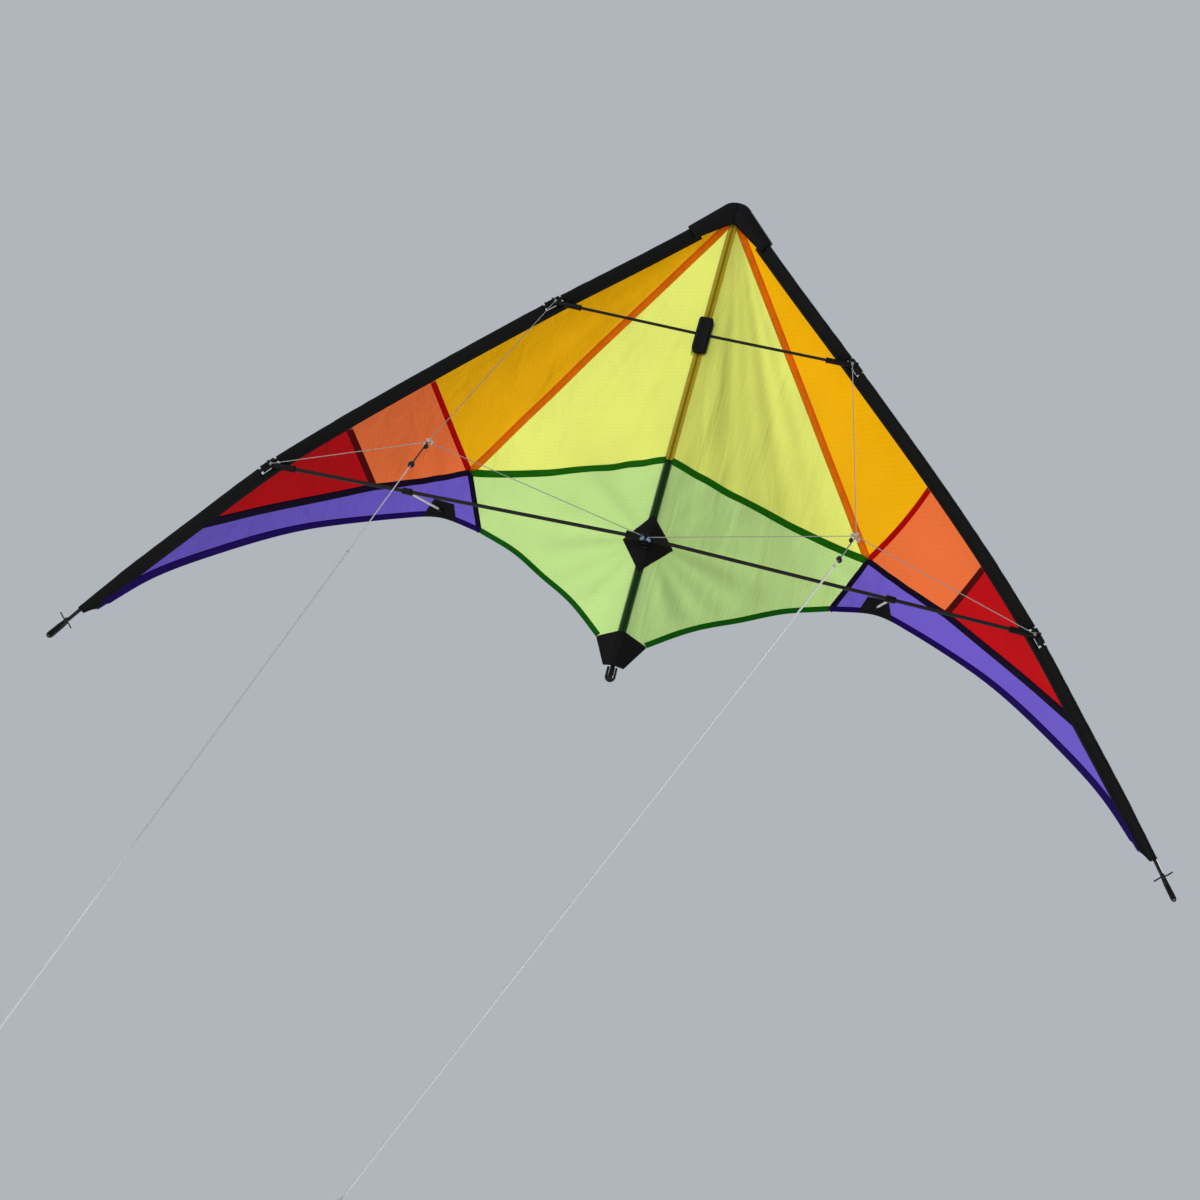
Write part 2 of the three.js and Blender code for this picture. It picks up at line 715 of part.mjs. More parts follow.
add(kite, 'spine_rod', rod([at(0, SPINE_Y, SPINE_BOTTOM), at(0, SPINE_Y, SPINE_TOP)], ROD_R, 12), 'rod');
add(kite, 'spine_sleeve_nose', spineSleeve(UPPER_CROSS_Z + 25 + GAP, SAIL_TOP), 'lime');
add(kite, 'spine_sleeve_middle', spineSleeve(T_CLAMP_HALF + GAP, UPPER_CROSS_Z - 25 - GAP), 'lime');
add(kite, 'spine_sleeve_tail', spineSleeve(TAIL_BOTTOM[1], -T_CLAMP_HALF - GAP), 'green');
add(kite, 'nose_webbing', noseWebbing(), 'black');
add(kite, 'upper_cross', upperCross(), 'vinyl');
add(kite, 'centre_t', centreT(), 'vinyl');
add(kite, 'centre_patch', centreDiamond(), 'black');
add(kite, 'tail_patch', tailPatch(), 'black');
add(kite, 'tail_cap', tailCap(), 'vinyl');
add(
  kite,
  'tail_bungee',
  loopAround((distance, aside) => at(aside, SPINE_Y, SPINE_BOTTOM - distance), -6, 5.5, 6.4),
  'elastic',
);

for (const side of ['right', 'left']) {
  const wing = new THREE.Group();
  wing.scale.x = side === 'right' ? 1 : -1;
  kite.add(wing);
  const put = (name, geometry, colour) => add(wing, `${name}_${side}`, geometry, colour);
  put('sail_lime', limePanel(), 'lime');
  put('sail_gold', goldPanel(), 'gold');
  put('sail_salmon', salmonPanel(), 'salmon');
  put('sail_red', redPanel(), 'red');
  put('sail_purple', purplePanel(), 'purple');
  put('sail_green', greenPanel(), 'green');
  put('edge_patch', edgePatch(), 'black');
  put('leading_rod', leadingRodBody(), 'rod');
  put('sleeve_upper', leadingSleeve(52.6, 198, 8), 'black');
  put('sleeve_middle', leadingSleeve(221, 514, 12), 'black');
  put('sleeve_tip', leadingSleeve(537, 733, 10), 'black');
  put('connector_upper', edgeConnector(209.5, upperAim, UPPER_ROD_R, 40), 'vinyl');
  put('connector_lower', edgeConnector(525.5, lowerAim, ROD_R, 38), 'vinyl');
  put('spreader_upper', spreader(upperJoint, upperAim, UPPER_ROD_R), 'rod');
  put('spreader_lower', spreader(lowerJoint, lowerAim, ROD_R), 'rod');
  put('standoff_clip', standoffClip(), 'vinyl');
  put('standoff_rod', standoffRod(), 'white');
  put('standoff_cap', standoffCap(), 'vinyl');
  put('tip_nock', tipNock(), 'vinyl');
  put('tip_bungee', loopAround(onTip, -22, 3.2, 5.8), 'elastic');
  put('bridle_outer', outerBridle(), 'white');
  put('bridle_inner', innerBridle(), 'white');
  put('tow_pigtail', towPigtail(), 'elastic');
}

add(kite, 'flying_line_right', flyingLine(1, at(-0.111, -0.731, -0.673).normalize()), 'white');
add(kite, 'flying_line_left', flyingLine(-1, at(0.015, -0.727, -0.687).normalize()), 'white');

export default kite;
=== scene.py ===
"""Looks for the two-line delta stunt kite: cloth, sleeves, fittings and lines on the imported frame."""
import math
from contextlib import contextmanager

import bmesh
import bpy
import numpy as np
from mathutils import Matrix, Vector, noise


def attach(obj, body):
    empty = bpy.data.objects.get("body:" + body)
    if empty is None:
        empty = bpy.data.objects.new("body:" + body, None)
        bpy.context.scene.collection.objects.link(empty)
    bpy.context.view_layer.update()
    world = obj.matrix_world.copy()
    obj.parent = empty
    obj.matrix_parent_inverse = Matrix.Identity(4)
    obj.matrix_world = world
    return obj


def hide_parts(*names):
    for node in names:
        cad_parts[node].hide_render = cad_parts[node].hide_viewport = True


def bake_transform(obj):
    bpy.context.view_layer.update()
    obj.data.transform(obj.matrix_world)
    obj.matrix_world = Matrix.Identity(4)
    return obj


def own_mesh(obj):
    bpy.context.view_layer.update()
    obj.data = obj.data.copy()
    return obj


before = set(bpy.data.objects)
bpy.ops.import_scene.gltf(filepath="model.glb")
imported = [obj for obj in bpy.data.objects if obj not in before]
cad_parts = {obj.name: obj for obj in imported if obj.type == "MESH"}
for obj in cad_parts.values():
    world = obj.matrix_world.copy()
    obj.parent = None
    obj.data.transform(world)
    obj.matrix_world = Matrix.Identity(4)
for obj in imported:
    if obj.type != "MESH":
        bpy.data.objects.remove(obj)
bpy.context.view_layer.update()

# ---- dimensions, in millimetres, as in the CAD
MM = 0.001
ROD_R = 2.5
UPPER_ROD_R = 2.0
STANDOFF_R = 1.5
SPINE_Y = 3.5
SPINE_TOP = 468.0
SPINE_BOTTOM = -184.0
SPINE_HALF = 4.5
SAIL_TOP = 466.0
FAN_TOP = SAIL_TOP + 20
SAIL_EDGE = 10.3
SAIL_BACK = 2.6
BILLOW = 0.45
UPPER_Z = 298.0
UPPER_Y = -7.0
T_Y = -9.0
T_ARM = 28.0
TOW = (282, -168, 12)
TOW_KNOT = (276, -245, -48)
LINE_LENGTH = 1500.0
LINE_R = 1.2
LINE_THIN_R = 0.7
BRIDLE_R = 0.55
LEADER_R = 1.0
ROD_START_X = 13.6
ROD_END_X = 764
LEADER_LENGTH = {1: 20, -1: 272}
LINE_WAY = {1: (-0.111, -0.731, -0.673), -1: (0.015, -0.727, -0.687)}
LEADING_POINTS = (
    (13.5, -4, 480),
    (103.5, -4, 396),
    (209.5, -4, 299.5),
    (356.5, 9, 166),
    (454.5, 12, 69.5),
    (525.5, 10, -8.5),
    (612.5, 30, -108),
    (684.5, 50, -190.5),
    (768, 78.5, -291),
)
UPPER_JOINT = np.array([209.5, -7, 299.5])
LOWER_JOINT = np.array([525.5, 7, -8.5])
SLEEVE_END = 733
SLEEVES = {"upper": (52.6, 199.5), "middle": (219.5, 516), "tip": (535, SLEEVE_END)}
SLEEVE_R = 4.0
SLEEVE_FLAT = 10.2
SLEEVE_TIP_FLAT = 5.5
SEAM_INNER = (SPINE_HALF, 116)
SEAM_OUTER = (279, 75)
SEAM_MID = (398, 20)
NOSE_SEAM_TOP = (6.8, SAIL_TOP)
SEAM_TRAILING = (245, -2)
GOLD_X, SALMON_X, RED_X, TIP_X = 345, 438, 597, 714
TAIL_CORNER = (34, -138)
TAIL_BOTTOM = (13, -175)
STANDOFF_FOOT = (304, 17)
STANDOFF_X = 330
CROSS_HALF_WIDTH = 10
CROSS_HALF_HEIGHT = 25
SIDES = {"right": 1, "left": -1}


# ---- camera
def linked(name, data):
    """A new object in the scene that shows the data."""
    obj = bpy.data.objects.new(name, data)
    bpy.context.collection.objects.link(obj)
    return obj


def make_camera():
    camera = linked("camera", bpy.data.cameras.new("camera"))
    camera.data.lens = 99.5
    camera.data.sensor_width = 36
    camera.data.clip_end = 300
    forward = Vector((-0.1597, 0.9461, 0.2816)).normalized()
    right = Vector((0.9628, 0.0863, 0.2562)).normalized()
    up = right.cross(forward).normalized()
    right = forward.cross(up)
    turn = Matrix((right, up, -forward)).transposed().to_4x4()
    camera.matrix_world = Matrix.Translation((0.655, -4.114, -1.318)) @ turn
    bpy.context.scene.camera = camera


# ---- curves
def unit(vector):
    return vector / np.linalg.norm(vector)


def unit_rows(rows):
    return rows / np.linalg.norm(rows, axis=1)[:, None]


def centripetal(points, per_span):
    """A centripetal Catmull-Rom curve, as the CAD's leading edge."""
    p = np.array(points, float)
    p = np.vstack([2 * p[0] - p[1], p, 2 * p[-1] - p[-2]])
    found = []
    for i in range(1, len(p) - 2):
        d0, d1, d2 = (np.linalg.norm(p[k + 1] - p[k]) ** 0.5 for k in (i - 1, i, i + 1))
        rise = p[i + 1] - p[i]
        t1 = ((p[i] - p[i - 1]) / d0 - (p[i + 1] - p[i - 1]) / (d0 + d1) + rise / d1) * d1
        t2 = (rise / d1 - (p[i + 2] - p[i]) / (d1 + d2) + (p[i + 2] - p[i + 1]) / d2) * d1
        s = np.linspace(0, 1, per_span, endpoint=False)[:, None]
        found.append(p[i] + t1 * s + (3 * rise - 2 * t1 - t2) * s**2 + (t1 + t2 - 2 * rise) * s**3)
    found.append(p[-2][None, :])
    return np.vstack(found)


def curve(points, per_span=24):
    """A uniform Catmull-Rom curve in the plan, [x, z]."""
    p = np.array(points, float)
    p = np.vstack([p[0], p, p[-1]])
    s = np.linspace(0, 1, per_span, endpoint=False)[:, None]
    found = []
    for i in range(1, len(p) - 2):
        a, b, c, d = p[i - 1 : i + 3]
        square = (2 * a - 5 * b + 4 * c - d) * s**2 / 2
        cube = (3 * b - a - 3 * c + d) * s**3 / 2
        found.append(b + (c - a) * s / 2 + square + cube)
    return np.vstack(found + [p[-1][None, :]])


def line(*points):
    return np.array(points, float)


def distances(path):
    """How far along the path each of its points lies."""
    return np.concatenate([[0], np.cumsum(np.linalg.norm(np.diff(path, axis=0), axis=1))])


def spread(path, count):
    """The path as count + 1 points at even steps along it."""
    along = distances(path)
    want = np.linspace(0, along[-1], count + 1)
    return np.stack([np.interp(want, along, path[:, k]) for k in range(path.shape[1])], axis=1)


def arc_length(path):
    return float(np.linalg.norm(np.diff(path, axis=0), axis=1).sum())


LEADING = centripetal(LEADING_POINTS, 60)
SLOPES = unit_rows(np.gradient(LEADING, axis=0))


def beside_rod(offset):
    """The plan of the line that runs offset inside the leading-edge rod."""
    flat = np.hypot(SLOPES[:, 0], SLOPES[:, 2])
    x = LEADING[:, 0] + SLOPES[:, 2] / flat * offset
    z = LEADING[:, 2] - SLOPES[:, 0] / flat * offset
    return np.stack([x, z], axis=1)


EDGE = beside_rod(SAIL_EDGE)
EDGE_DROP = FAN_TOP - EDGE[:, 1]
EDGE_REACH = np.hypot(EDGE[:, 0], EDGE_DROP)
EDGE_ANGLE = np.arctan2(EDGE[:, 0], EDGE_DROP)
EDGE_DEPTH = LEADING[:, 1] + SAIL_BACK


def edge_at(x):
    return np.array([x, np.interp(x, EDGE[:, 0], EDGE[:, 1])])


def edge_run(from_x, to_x, offset=SAIL_EDGE):
    """The sail's front edge between two x, in either direction."""
    low, high = min(from_x, to_x), max(from_x, to_x)
    whole = beside_rod(offset)
    middle = whole[(whole[:, 0] > low) & (whole[:, 0] < high)]
    ends = [np.array([x, np.interp(x, whole[:, 0], whole[:, 1])]) for x in (low, high)]
    run = np.vstack([ends[0], middle, ends[1]])
    return run if from_x < to_x else run[::-1]


def rod_run(from_x, to_x, steps):
    """A stretch of the leading-edge rod's own line."""
    inside = (LEADING[:, 0] > from_x) & (LEADING[:, 0] < to_x)
    ends = [[np.interp(x, LEADING[:, 0], LEADING[:, k]) for k in range(3)] for x in (from_x, to_x)]
    return spread(np.vstack([ends[0], LEADING[inside], ends[1]]), steps)


def rod_frame(x):
    """A point on the leading-edge rod and the rod's direction there."""
    index = int(np.argmin(np.abs(LEADING[:, 0] - x)))
    return LEADING[index], SLOPES[index]


# ---- the sail's surface
TIP_REAR = edge_at(TIP_X) - (4, 1)
INNER_REAR = curve([TAIL_CORNER, (85, -93), (137, -59), (190, -25), SEAM_TRAILING])
OUTER_REAR = curve(
    [SEAM_TRAILING, (304, 8.5), (360, -6.5), (430, -37), (498, -74.5), (580, -130), (650, -184), TIP_REAR]
)
REAR = np.vstack([[TAIL_BOTTOM], INNER_REAR, OUTER_REAR])


def sail_depth(x, z):
    """How far the billowed sail stands behind the spine and leading edge."""
    drop = FAN_TOP - z
    reach = np.hypot(x, drop)
    angle = np.interp(reach, EDGE_REACH, EDGE_ANGLE)
    edge_y = np.interp(reach, EDGE_REACH, EDGE_DEPTH)
    beside = np.maximum(np.abs(x) - SPINE_HALF, 0)
    u = np.minimum(np.arctan2(beside, drop) / (angle - SPINE_HALF / reach), 1)
    return reach * BILLOW * u * (1 - u**3) + edge_y * u * u


def hump(distance, width):
    return np.exp(-((distance / width) ** 2))


def wrinkles(x, z):
    """Pull lines that fan out of the nose, centre T, standoff's foot and tip, and a little slack."""
    drop = FAN_TOP - z
    reach = np.hypot(x, drop)
    fan = np.arctan2(x, drop)
    inner = np.clip((x - SPINE_HALF) / 30, 0, 1)
    nose = (np.sin(34 * fan + 0.6) + 0.6 * np.sin(61 * fan + 2.1)) * 1.4
    nose = nose * np.clip(reach / 300, 0, 1) * hump(reach - 250, 170)
    turn = np.arctan2(z - 2, x + 1)
    from_t = np.hypot(x, z)
    centre = (np.sin(7 * turn + 0.4) + 0.7 * np.sin(15 * turn + 1.3)) * 2.2 * hump(from_t - 110, 75)
    foot_x, foot_z = x - STANDOFF_FOOT[0], z - STANDOFF_FOOT[1]
    from_foot = np.hypot(foot_x, foot_z)
    foot = np.sin(9 * np.arctan2(foot_z, foot_x) + 0.9) * 0.9 * hump(from_foot - 60, 50)
    tip = np.sin((x * 0.8 + z * 0.55) / 13.0) * 1.2
    tip = tip * np.clip((x - 380) / 120, 0, 1) * np.clip((735 - x) / 120, 0, 1)
    slack = np.sin(x / 43 + 1.1 + 0.6 * np.sin(z / 57)) * np.sin(z / 37 - 0.4 + 0.8 * np.sin(x / 61)) * 1.6
    return inner * (nose + centre + foot + tip + slack)


def sail_y(x, z):
    """The finished cloth: billow, and wrinkles that die out at the leading edge and hems."""
    drop = FAN_TOP - z
    reach = np.hypot(x, drop)
    angle = np.interp(reach, EDGE_REACH, EDGE_ANGLE)
    front = np.clip((angle - np.arctan2(x, drop)) * reach / 25, 0, 1)
    rear = np.clip((z - np.interp(x, REAR[:, 0], REAR[:, 1])) / 30, 0.12, 1)
    return sail_depth(x, z) + wrinkles(x, z) * front * rear


def on_sail(plan, *offsets):
    """Grids of points that stand off the finished cloth, one for each offset."""
    x, z = plan[..., 0], plan[..., 1]
    y = sail_y(x, z)
    return [np.stack([x, y + offset, z], axis=-1) for offset in offsets]


def coons(bottom, right, top, left, across, up):
    """Plan points between four edges; bottom and top run outwards, left and right upwards."""
    b, t = spread(bottom, across), spread(top, across)
    l, r = spread(left, up), spread(right, up)
    u = np.linspace(0, 1, across + 1)[:, None, None]
    v = np.linspace(0, 1, up + 1)[None, :, None]
    ruled = (1 - v) * b[:, None] + v * t[:, None] + (1 - u) * l[None] + u * r[None]
    corners = (1 - u) * ((1 - v) * b[0] + v * t[0]) + u * ((1 - v) * b[-1] + v * t[-1])
    return ruled - corners


# ---- meshes
def new_object(name, shape, material, side=1, uvs=None, smooth=True):
    """A mesh object from (points in millimetres, faces); side -1 mirrors it to the left wing."""
    verts, faces = shape
    points = np.array(verts, float) * MM
    points[:, 0] *= side
    rings = [tuple(f) if side > 0 else tuple(reversed(f)) for f in faces]
    mesh = bpy.data.meshes.new(name)
    mesh.from_pydata(points.tolist(), [], rings)
    if uvs is not None:
        layer = mesh.uv_layers.new(name="UVMap")
        index = np.array([loop.vertex_index for loop in mesh.loops])
        layer.data.foreach_set("uv", (np.array(uvs, float)[index] * MM).ravel())
    mesh.materials.append(material)
    mesh.update()
    if smooth:
        mesh.polygons.foreach_set("use_smooth", [True] * len(mesh.polygons))
    return linked(name, mesh)


def grid_faces(across, up, flip=False):
    faces = []
    for i in range(across):
        for j in range(up):
            a, b = i * (up + 1) + j, (i + 1) * (up + 1) + j
            faces.append((a, a + 1, b + 1, b) if flip else (a, b, b + 1, a + 1))
    return faces


def slab_mesh(front, back):
    """A closed slab between two grids of points."""
    across, up = front.shape[0] - 1, front.shape[1] - 1
    count = (across + 1) * (up + 1)
    verts = np.vstack([front.reshape(-1, 3), back.reshape(-1, 3)])
    faces = grid_faces(across, up) + [tuple(k + count for k in f) for f in grid_faces(across, up, True)]
    rim = [(i, 0) for i in range(across)] + [(across, j) for j in range(up)]
    rim += [(i, up) for i in range(across, 0, -1)] + [(0, j) for j in range(up, 0, -1)]
    rim = [i * (up + 1) + j for i, j in rim]
    for a, b in zip(rim, rim[1:] + rim[:1]):
        faces.append((a, a + count, b + count, b))
    return verts, faces


def frames_along(path, up):
    """Side and rise directions at each point of a path, turning as little as possible."""
    rise = np.array(up, float)
    sides, rises = [], []
    for along in unit_rows(np.gradient(path, axis=0)):
        side = unit(np.cross(rise, along))
        rise = np.cross(along, side)
        sides.append(side)
        rises.append(rise)
    return sides, rises


def ring(radius, count):
    angles = np.linspace(0, 2 * math.pi, count, endpoint=False)
    return np.stack([radius * np.cos(angles), radius * np.sin(angles)], axis=1)


def ring_faces(rings, count):
    """Faces between successive rings of count points, and one over each end."""
    faces = []
    for i in range(rings - 1):
        for j in range(count):
            k = (j + 1) % count
            faces.append((i * count + j, i * count + k, (i + 1) * count + k, (i + 1) * count + j))
    faces.append(tuple(reversed(range(count))))
    faces.append(tuple((rings - 1) * count + j for j in range(count)))
    return faces


def swept(path, sections, up=(0, 1, 0)):
    """The shape and uvs of sections, one list of [a, b] for each path point, swept along the path."""
    path = np.array(path, float)
    sides, rises = frames_along(path, up)
    verts, uvs = [], []
    for p, along, section, side, rise in zip(path, distances(path), sections, sides, rises):
        s = np.array(section, float)
        verts.append(p + s[:, :1] * side + s[:, 1:] * rise)
        uvs += [(along, around) for around in distances(s)]
    return (np.vstack(verts), ring_faces(len(path), len(sections[0]))), uvs


def tube(name, path, radius, material, side=1, sides=18, up=(0, 1, 0)):
    path = np.array(path, float)
    radii = np.broadcast_to(radius, len(path))
    shape, uvs = swept(path, [ring(r, sides) for r in radii], up)
    return new_object(name, shape, material, side, uvs)


def turned(name, start, end, profile, material, side=1, up=(0, 1, 0)):
    """A turned fitting on the line from start to end; profile lists [share of the way, radius]."""
    sides = 24
    start, end = np.array(start, float), np.array(end, float)
    way = unit(end - start)
    beside = unit(np.cross(up, way))
    rise = np.cross(way, beside)
    verts = []
    for share, radius in profile:
        circle = ring(radius, sides)
        verts.append(start + (end - start) * share + circle[:, :1] * beside + circle[:, 1:] * rise)
    return new_object(name, (np.vstack(verts), ring_faces(len(profile), sides)), material, side)


@contextmanager
def edited(obj):
    """The object's mesh, open for changes."""
    bm = bmesh.new()
    bm.from_mesh(obj.data)
    yield bm
    bm.to_mesh(obj.data)
    bm.free()


def merged(name, parts):
    """Several mesh objects as one piece."""
    whole = parts[0]
    with edited(whole) as bm:
        for part in parts[1:]:
            bm.from_mesh(part.data)
            bpy.data.objects.remove(part)
    whole.data.update()
    whole.name = name
    return whole


def rounded(obj, width, segments=3):
    """Rounds an object's sharp edges."""
    with edited(obj) as bm:
        sharp = [e for e in bm.edges if len(e.link_faces) == 2 and e.calc_face_angle(0) > 0.6]
        settings = {"offset": width * MM, "segments": segments, "profile": 0.5, "clamp_overlap": True}
        bmesh.ops.bevel(bm, geom=sharp, affect="EDGES", **settings)
    obj.data.polygons.foreach_set("use_smooth", [True] * len(obj.data.polygons))
    return obj


def profile_of(length, radius, lip=0.6, lip_length=2.0, edge=0.7):
    """A moulded tube's turned profile: rounded ends with a raised lip at the far end."""
    e, l = edge / length, lip_length / length
    return (
        (0, radius - edge),
        (e * 0.35, radius - edge * 0.35),
        (e, radius),
        (1 - l - e, radius),
        (1 - l, radius + lip),
        (1 - e, radius + lip),
        (1 - e * 0.3, radius + lip - edge * 0.35),
        (1, radius + lip - edge),
    )


# ---- material nodes
def node_material(name):
    material = bpy.data.materials.new(name)
    material.use_nodes = True
    material.node_tree.nodes.clear()
    return material, material.node_tree


def add(near, kind, links=None, **settings):
    """A node in the tree that near is part of; links maps its inputs to sockets or values."""
    tree = near.id_data
    node = tree.nodes.new(kind)
    for key, value in settings.items():
        setattr(node, key, value)
    for key, value in (links or {}).items():
        if isinstance(value, bpy.types.NodeSocket):
            tree.links.new(value, node.inputs[key])
        else:
            node.inputs[key].default_value = value
    return node


def finished(material, shader):
    add(material.node_tree, "ShaderNodeOutputMaterial", {0: shader})
    return material


def maths(operation, a, b=0.5, c=None):
    links = {0: a, 1: b}
    if c is not None:
        links[2] = c
    return add(a, "ShaderNodeMath", links, operation=operation).outputs[0]


def place_on(tree, kind="Object"):
    return add(tree, "ShaderNodeTexCoord").outputs[kind]


def separate(place):
    return add(place, "ShaderNodeSeparateXYZ", {0: place}).outputs


def speckle(place, scale, **settings):
    """The value of a noise texture; settings are its other inputs."""
    return add(place, "ShaderNodeTexNoise", {"Vector": place, "Scale": scale, **settings}).outputs[0]


def stripes(place, direction, **settings):
    links = {"Vector": place, **settings}
    return add(place, "ShaderNodeTexWave", links, bands_direction=direction).outputs[1]


def repeats(value, pitch, share):
    """1 over the first share of each pitch along value, 0 over the rest."""
    phase = maths("FRACT", maths("DIVIDE", value, pitch))
    return maths("LESS_THAN", phase, share)


def bumped(strength, distance, height, **settings):
    links = {"Strength": strength, "Distance": distance, "Height": height, **settings}
    return add(height, "ShaderNodeBump", links).outputs[0]


def rgb(colour, alpha=1.0):
    """Linear colour from sRGB bytes."""
    shares = [c / 255 for c in colour]
    return tuple(s / 12.92 if s <= 10 / 255 else ((s + 0.055) / 1.055) ** 2.4 for s in shares) + (alpha,)


def tinted(colour, tone):
    """The sRGB colour times the tone."""
    grey = add(tone, "ShaderNodeCombineColor", {0: tone, 1: tone, 2: tone}).outputs[0]
    links = {0: 1.0, 6: rgb(colour), 7: grey}
    return add(tone, "ShaderNodeMix", links, data_type="RGBA", blend_type="MULTIPLY").outputs[2]


def skin(colour, roughness, specular, normal):
    links = {"Base Color": colour, "Roughness": roughness, "Specular IOR Level": specular, "Normal": normal}
    return add(normal, "ShaderNodeBsdfPrincipled", links).outputs[0]


def lit_through(surface, colour, through, **settings):
    """The surface mixed with a share of the light that comes through from behind."""
    back = add(surface, "ShaderNodeBsdfTranslucent", {"Color": colour, **settings}).outputs[0]
    return add(surface, "ShaderNodeMixShader", {0: through, 1: surface, 2: back}).outputs[0]


# ---- materials, in metres
def ripstop(name, colour, glow, through=0.62, rod_shadow=False):
    """Thin translucent ripstop: a grid of heavier threads, weave, mottling and creases; with rod_shadow, a
    painted shadow of the rod darkens its middle.
    """
    material, tree = node_material(name)
    place = place_on(tree)
    x, _, z = separate(place)
    pitch, thread = 0.0052, 0.0007
    lines = maths("MAXIMUM", *(repeats(way, pitch, thread / pitch) for way in (x, z)))
    mottle = speckle(place, 9.0, Detail=3.0, Roughness=0.55)
    weave = speckle(place, 1400.0, Detail=1.0)
    tone = maths("MULTIPLY_ADD", mottle, 0.22, 0.89)
    tone = maths("SUBTRACT", tone, maths("MULTIPLY", lines, 0.07))
    # painted shadow: the tone darkens towards x = 0, where the rod inside the spine pocket would shade the
    # backlit cloth
    if rod_shadow:
        beside = maths("DIVIDE", maths("ABSOLUTE", x), 0.0034)
        light = maths("MULTIPLY_ADD", maths("MINIMUM", beside, 1.0), 0.72, 0.34)
        tone = maths("MULTIPLY", tone, light)
    fine = bumped(0.25, 0.0004, maths("ADD", weave, lines))
    drawn = {"Vector": place, "Rotation": (0.0, 0.5, 0.0), "Scale": (1.0, 1.0, 0.22)}
    drawn = add(tree, "ShaderNodeMapping", drawn).outputs[0]
    crease = speckle(drawn, 34.0, Detail=2.5, Roughness=0.5, Distortion=0.5)
    normal = bumped(0.55, 0.006, crease, Normal=fine)
    rough = maths("MULTIPLY_ADD", weave, 0.14, 0.40)
    surface = skin(tinted(colour, tone), rough, 0.22, normal)
    mix = lit_through(surface, tinted(glow, tone), through, Normal=normal)
    return finished(material, mix)


def tape(name, colour, glow, through=0.35, thread=0.55):
    """A sewn seam: a doubled strip of cloth with two rows of straight stitching."""
    material, tree = node_material(name)
    place = place_on(tree)
    along, across, _ = separate(place_on(tree, "UV"))
    dash = repeats(along, 0.0032, 0.68)
    rows = [maths("ABSOLUTE", maths("SUBTRACT", across, row)) for row in (0.0018, 0.0062)]
    near = maths("MAXIMUM", *(maths("LESS_THAN", row, 0.00032) for row in rows))
    stitch = maths("MULTIPLY", near, dash)
    mottle = speckle(place, 60.0, Detail=3.0)
    weave = speckle(place, 1400.0)
    tone = maths("MULTIPLY_ADD", mottle, 0.35, 0.82)
    thread_colour = tuple(c * thread for c in rgb(colour)[:3]) + (1,)
    links = {0: stitch, 6: tinted(colour, tone), 7: thread_colour}
    face = add(tree, "ShaderNodeMix", links, data_type="RGBA").outputs[2]
    normal = bumped(0.4, 0.0005, maths("ADD", maths("MULTIPLY", weave, 0.3), stitch))
    surface = skin(face, maths("MULTIPLY_ADD", weave, 0.15, 0.5), 0.1, normal)
    mix = lit_through(surface, tinted(glow, tone), through)
    return finished(material, mix)


def woven(name, colour, pitch=0.0011):
    """Opaque cloth and webbing: a slanted twill rib with lighter worn threads."""
    material, tree = node_material(name)
    place = place_on(tree)
    ribs = stripes(place, "DIAGONAL", Scale=0.32 / pitch, Distortion=0.6, Detail=1.0)
    wear = speckle(place, 45.0, Detail=5.0, Roughness=0.7)
    fleck = speckle(place, 900.0)
    tone = maths("MULTIPLY_ADD", ribs, 0.35, 0.75)
    tone = maths("MULTIPLY", tone, maths("MULTIPLY_ADD", wear, 0.9, 0.55))
    height = maths("ADD", maths("MULTIPLY", ribs, 0.7), maths("MULTIPLY", fleck, 0.4))
    rough = maths("MULTIPLY_ADD", wear, 0.25, 0.52)
    surface = skin(tinted(colour, tone), rough, 0.14, bumped(0.5, 0.0004, height))
    return finished(material, surface)


def moulded(name, colour, rough=0.42, mark=0.5):
    """Moulded vinyl or rubber: fine leathery grain, scuffs and slightly varying gloss."""
    material, tree = node_material(name)
    place = place_on(tree)
    grain = speckle(place, 1600.0, Detail=2.0)
    scuff = speckle(place, 160.0, Detail=6.0, Roughness=0.75)
    tone = maths("MULTIPLY_ADD", scuff, mark, 1 - mark / 2)
    gloss = maths("MULTIPLY_ADD", scuff, 0.25, rough - 0.12)
    surface = skin(tinted(colour, tone), gloss, 0.13, bumped(0.18, 0.0003, grain))
    return finished(material, surface)


def fibreglass(name, colour, rough=0.3):
    """Pultruded rod: fine lengthwise fibres under a hard resin skin."""
    material, tree = node_material(name)
    stretch = {"Vector": place_on(tree, "UV"), "Scale": (12.0, 2600.0, 1.0)}
    fibre = speckle(add(tree, "ShaderNodeMapping", stretch).outputs[0], 1.0, Detail=3.0)
    tone = maths("MULTIPLY_ADD", fibre, 0.5, 0.75)
    gloss = maths("MULTIPLY_ADD", fibre, 0.2, rough - 0.1)
    surface = skin(tinted(colour, tone), gloss, 0.25, bumped(0.15, 0.0002, fibre))
    return finished(material, surface)


def braid(name, colour, through=0.0):
    """Braided cord: crossing strands along its length, white ones letting some light through."""
    material, tree = node_material(name)
    place = place_on(tree)
    strands = [stripes(place, way, Scale=260.0, Distortion=0.4) for way in ("DIAGONAL", "Z")]
    tone = maths("MULTIPLY_ADD", maths("MULTIPLY", *strands), 0.35, 0.72)
    normal = bumped(0.5, 0.0003, maths("ADD", *strands))
    surface = skin(tinted(colour, tone), 0.55, 0.25, normal)
    mix = lit_through(surface, tinted(colour, tone), through)
    return finished(material, mix)


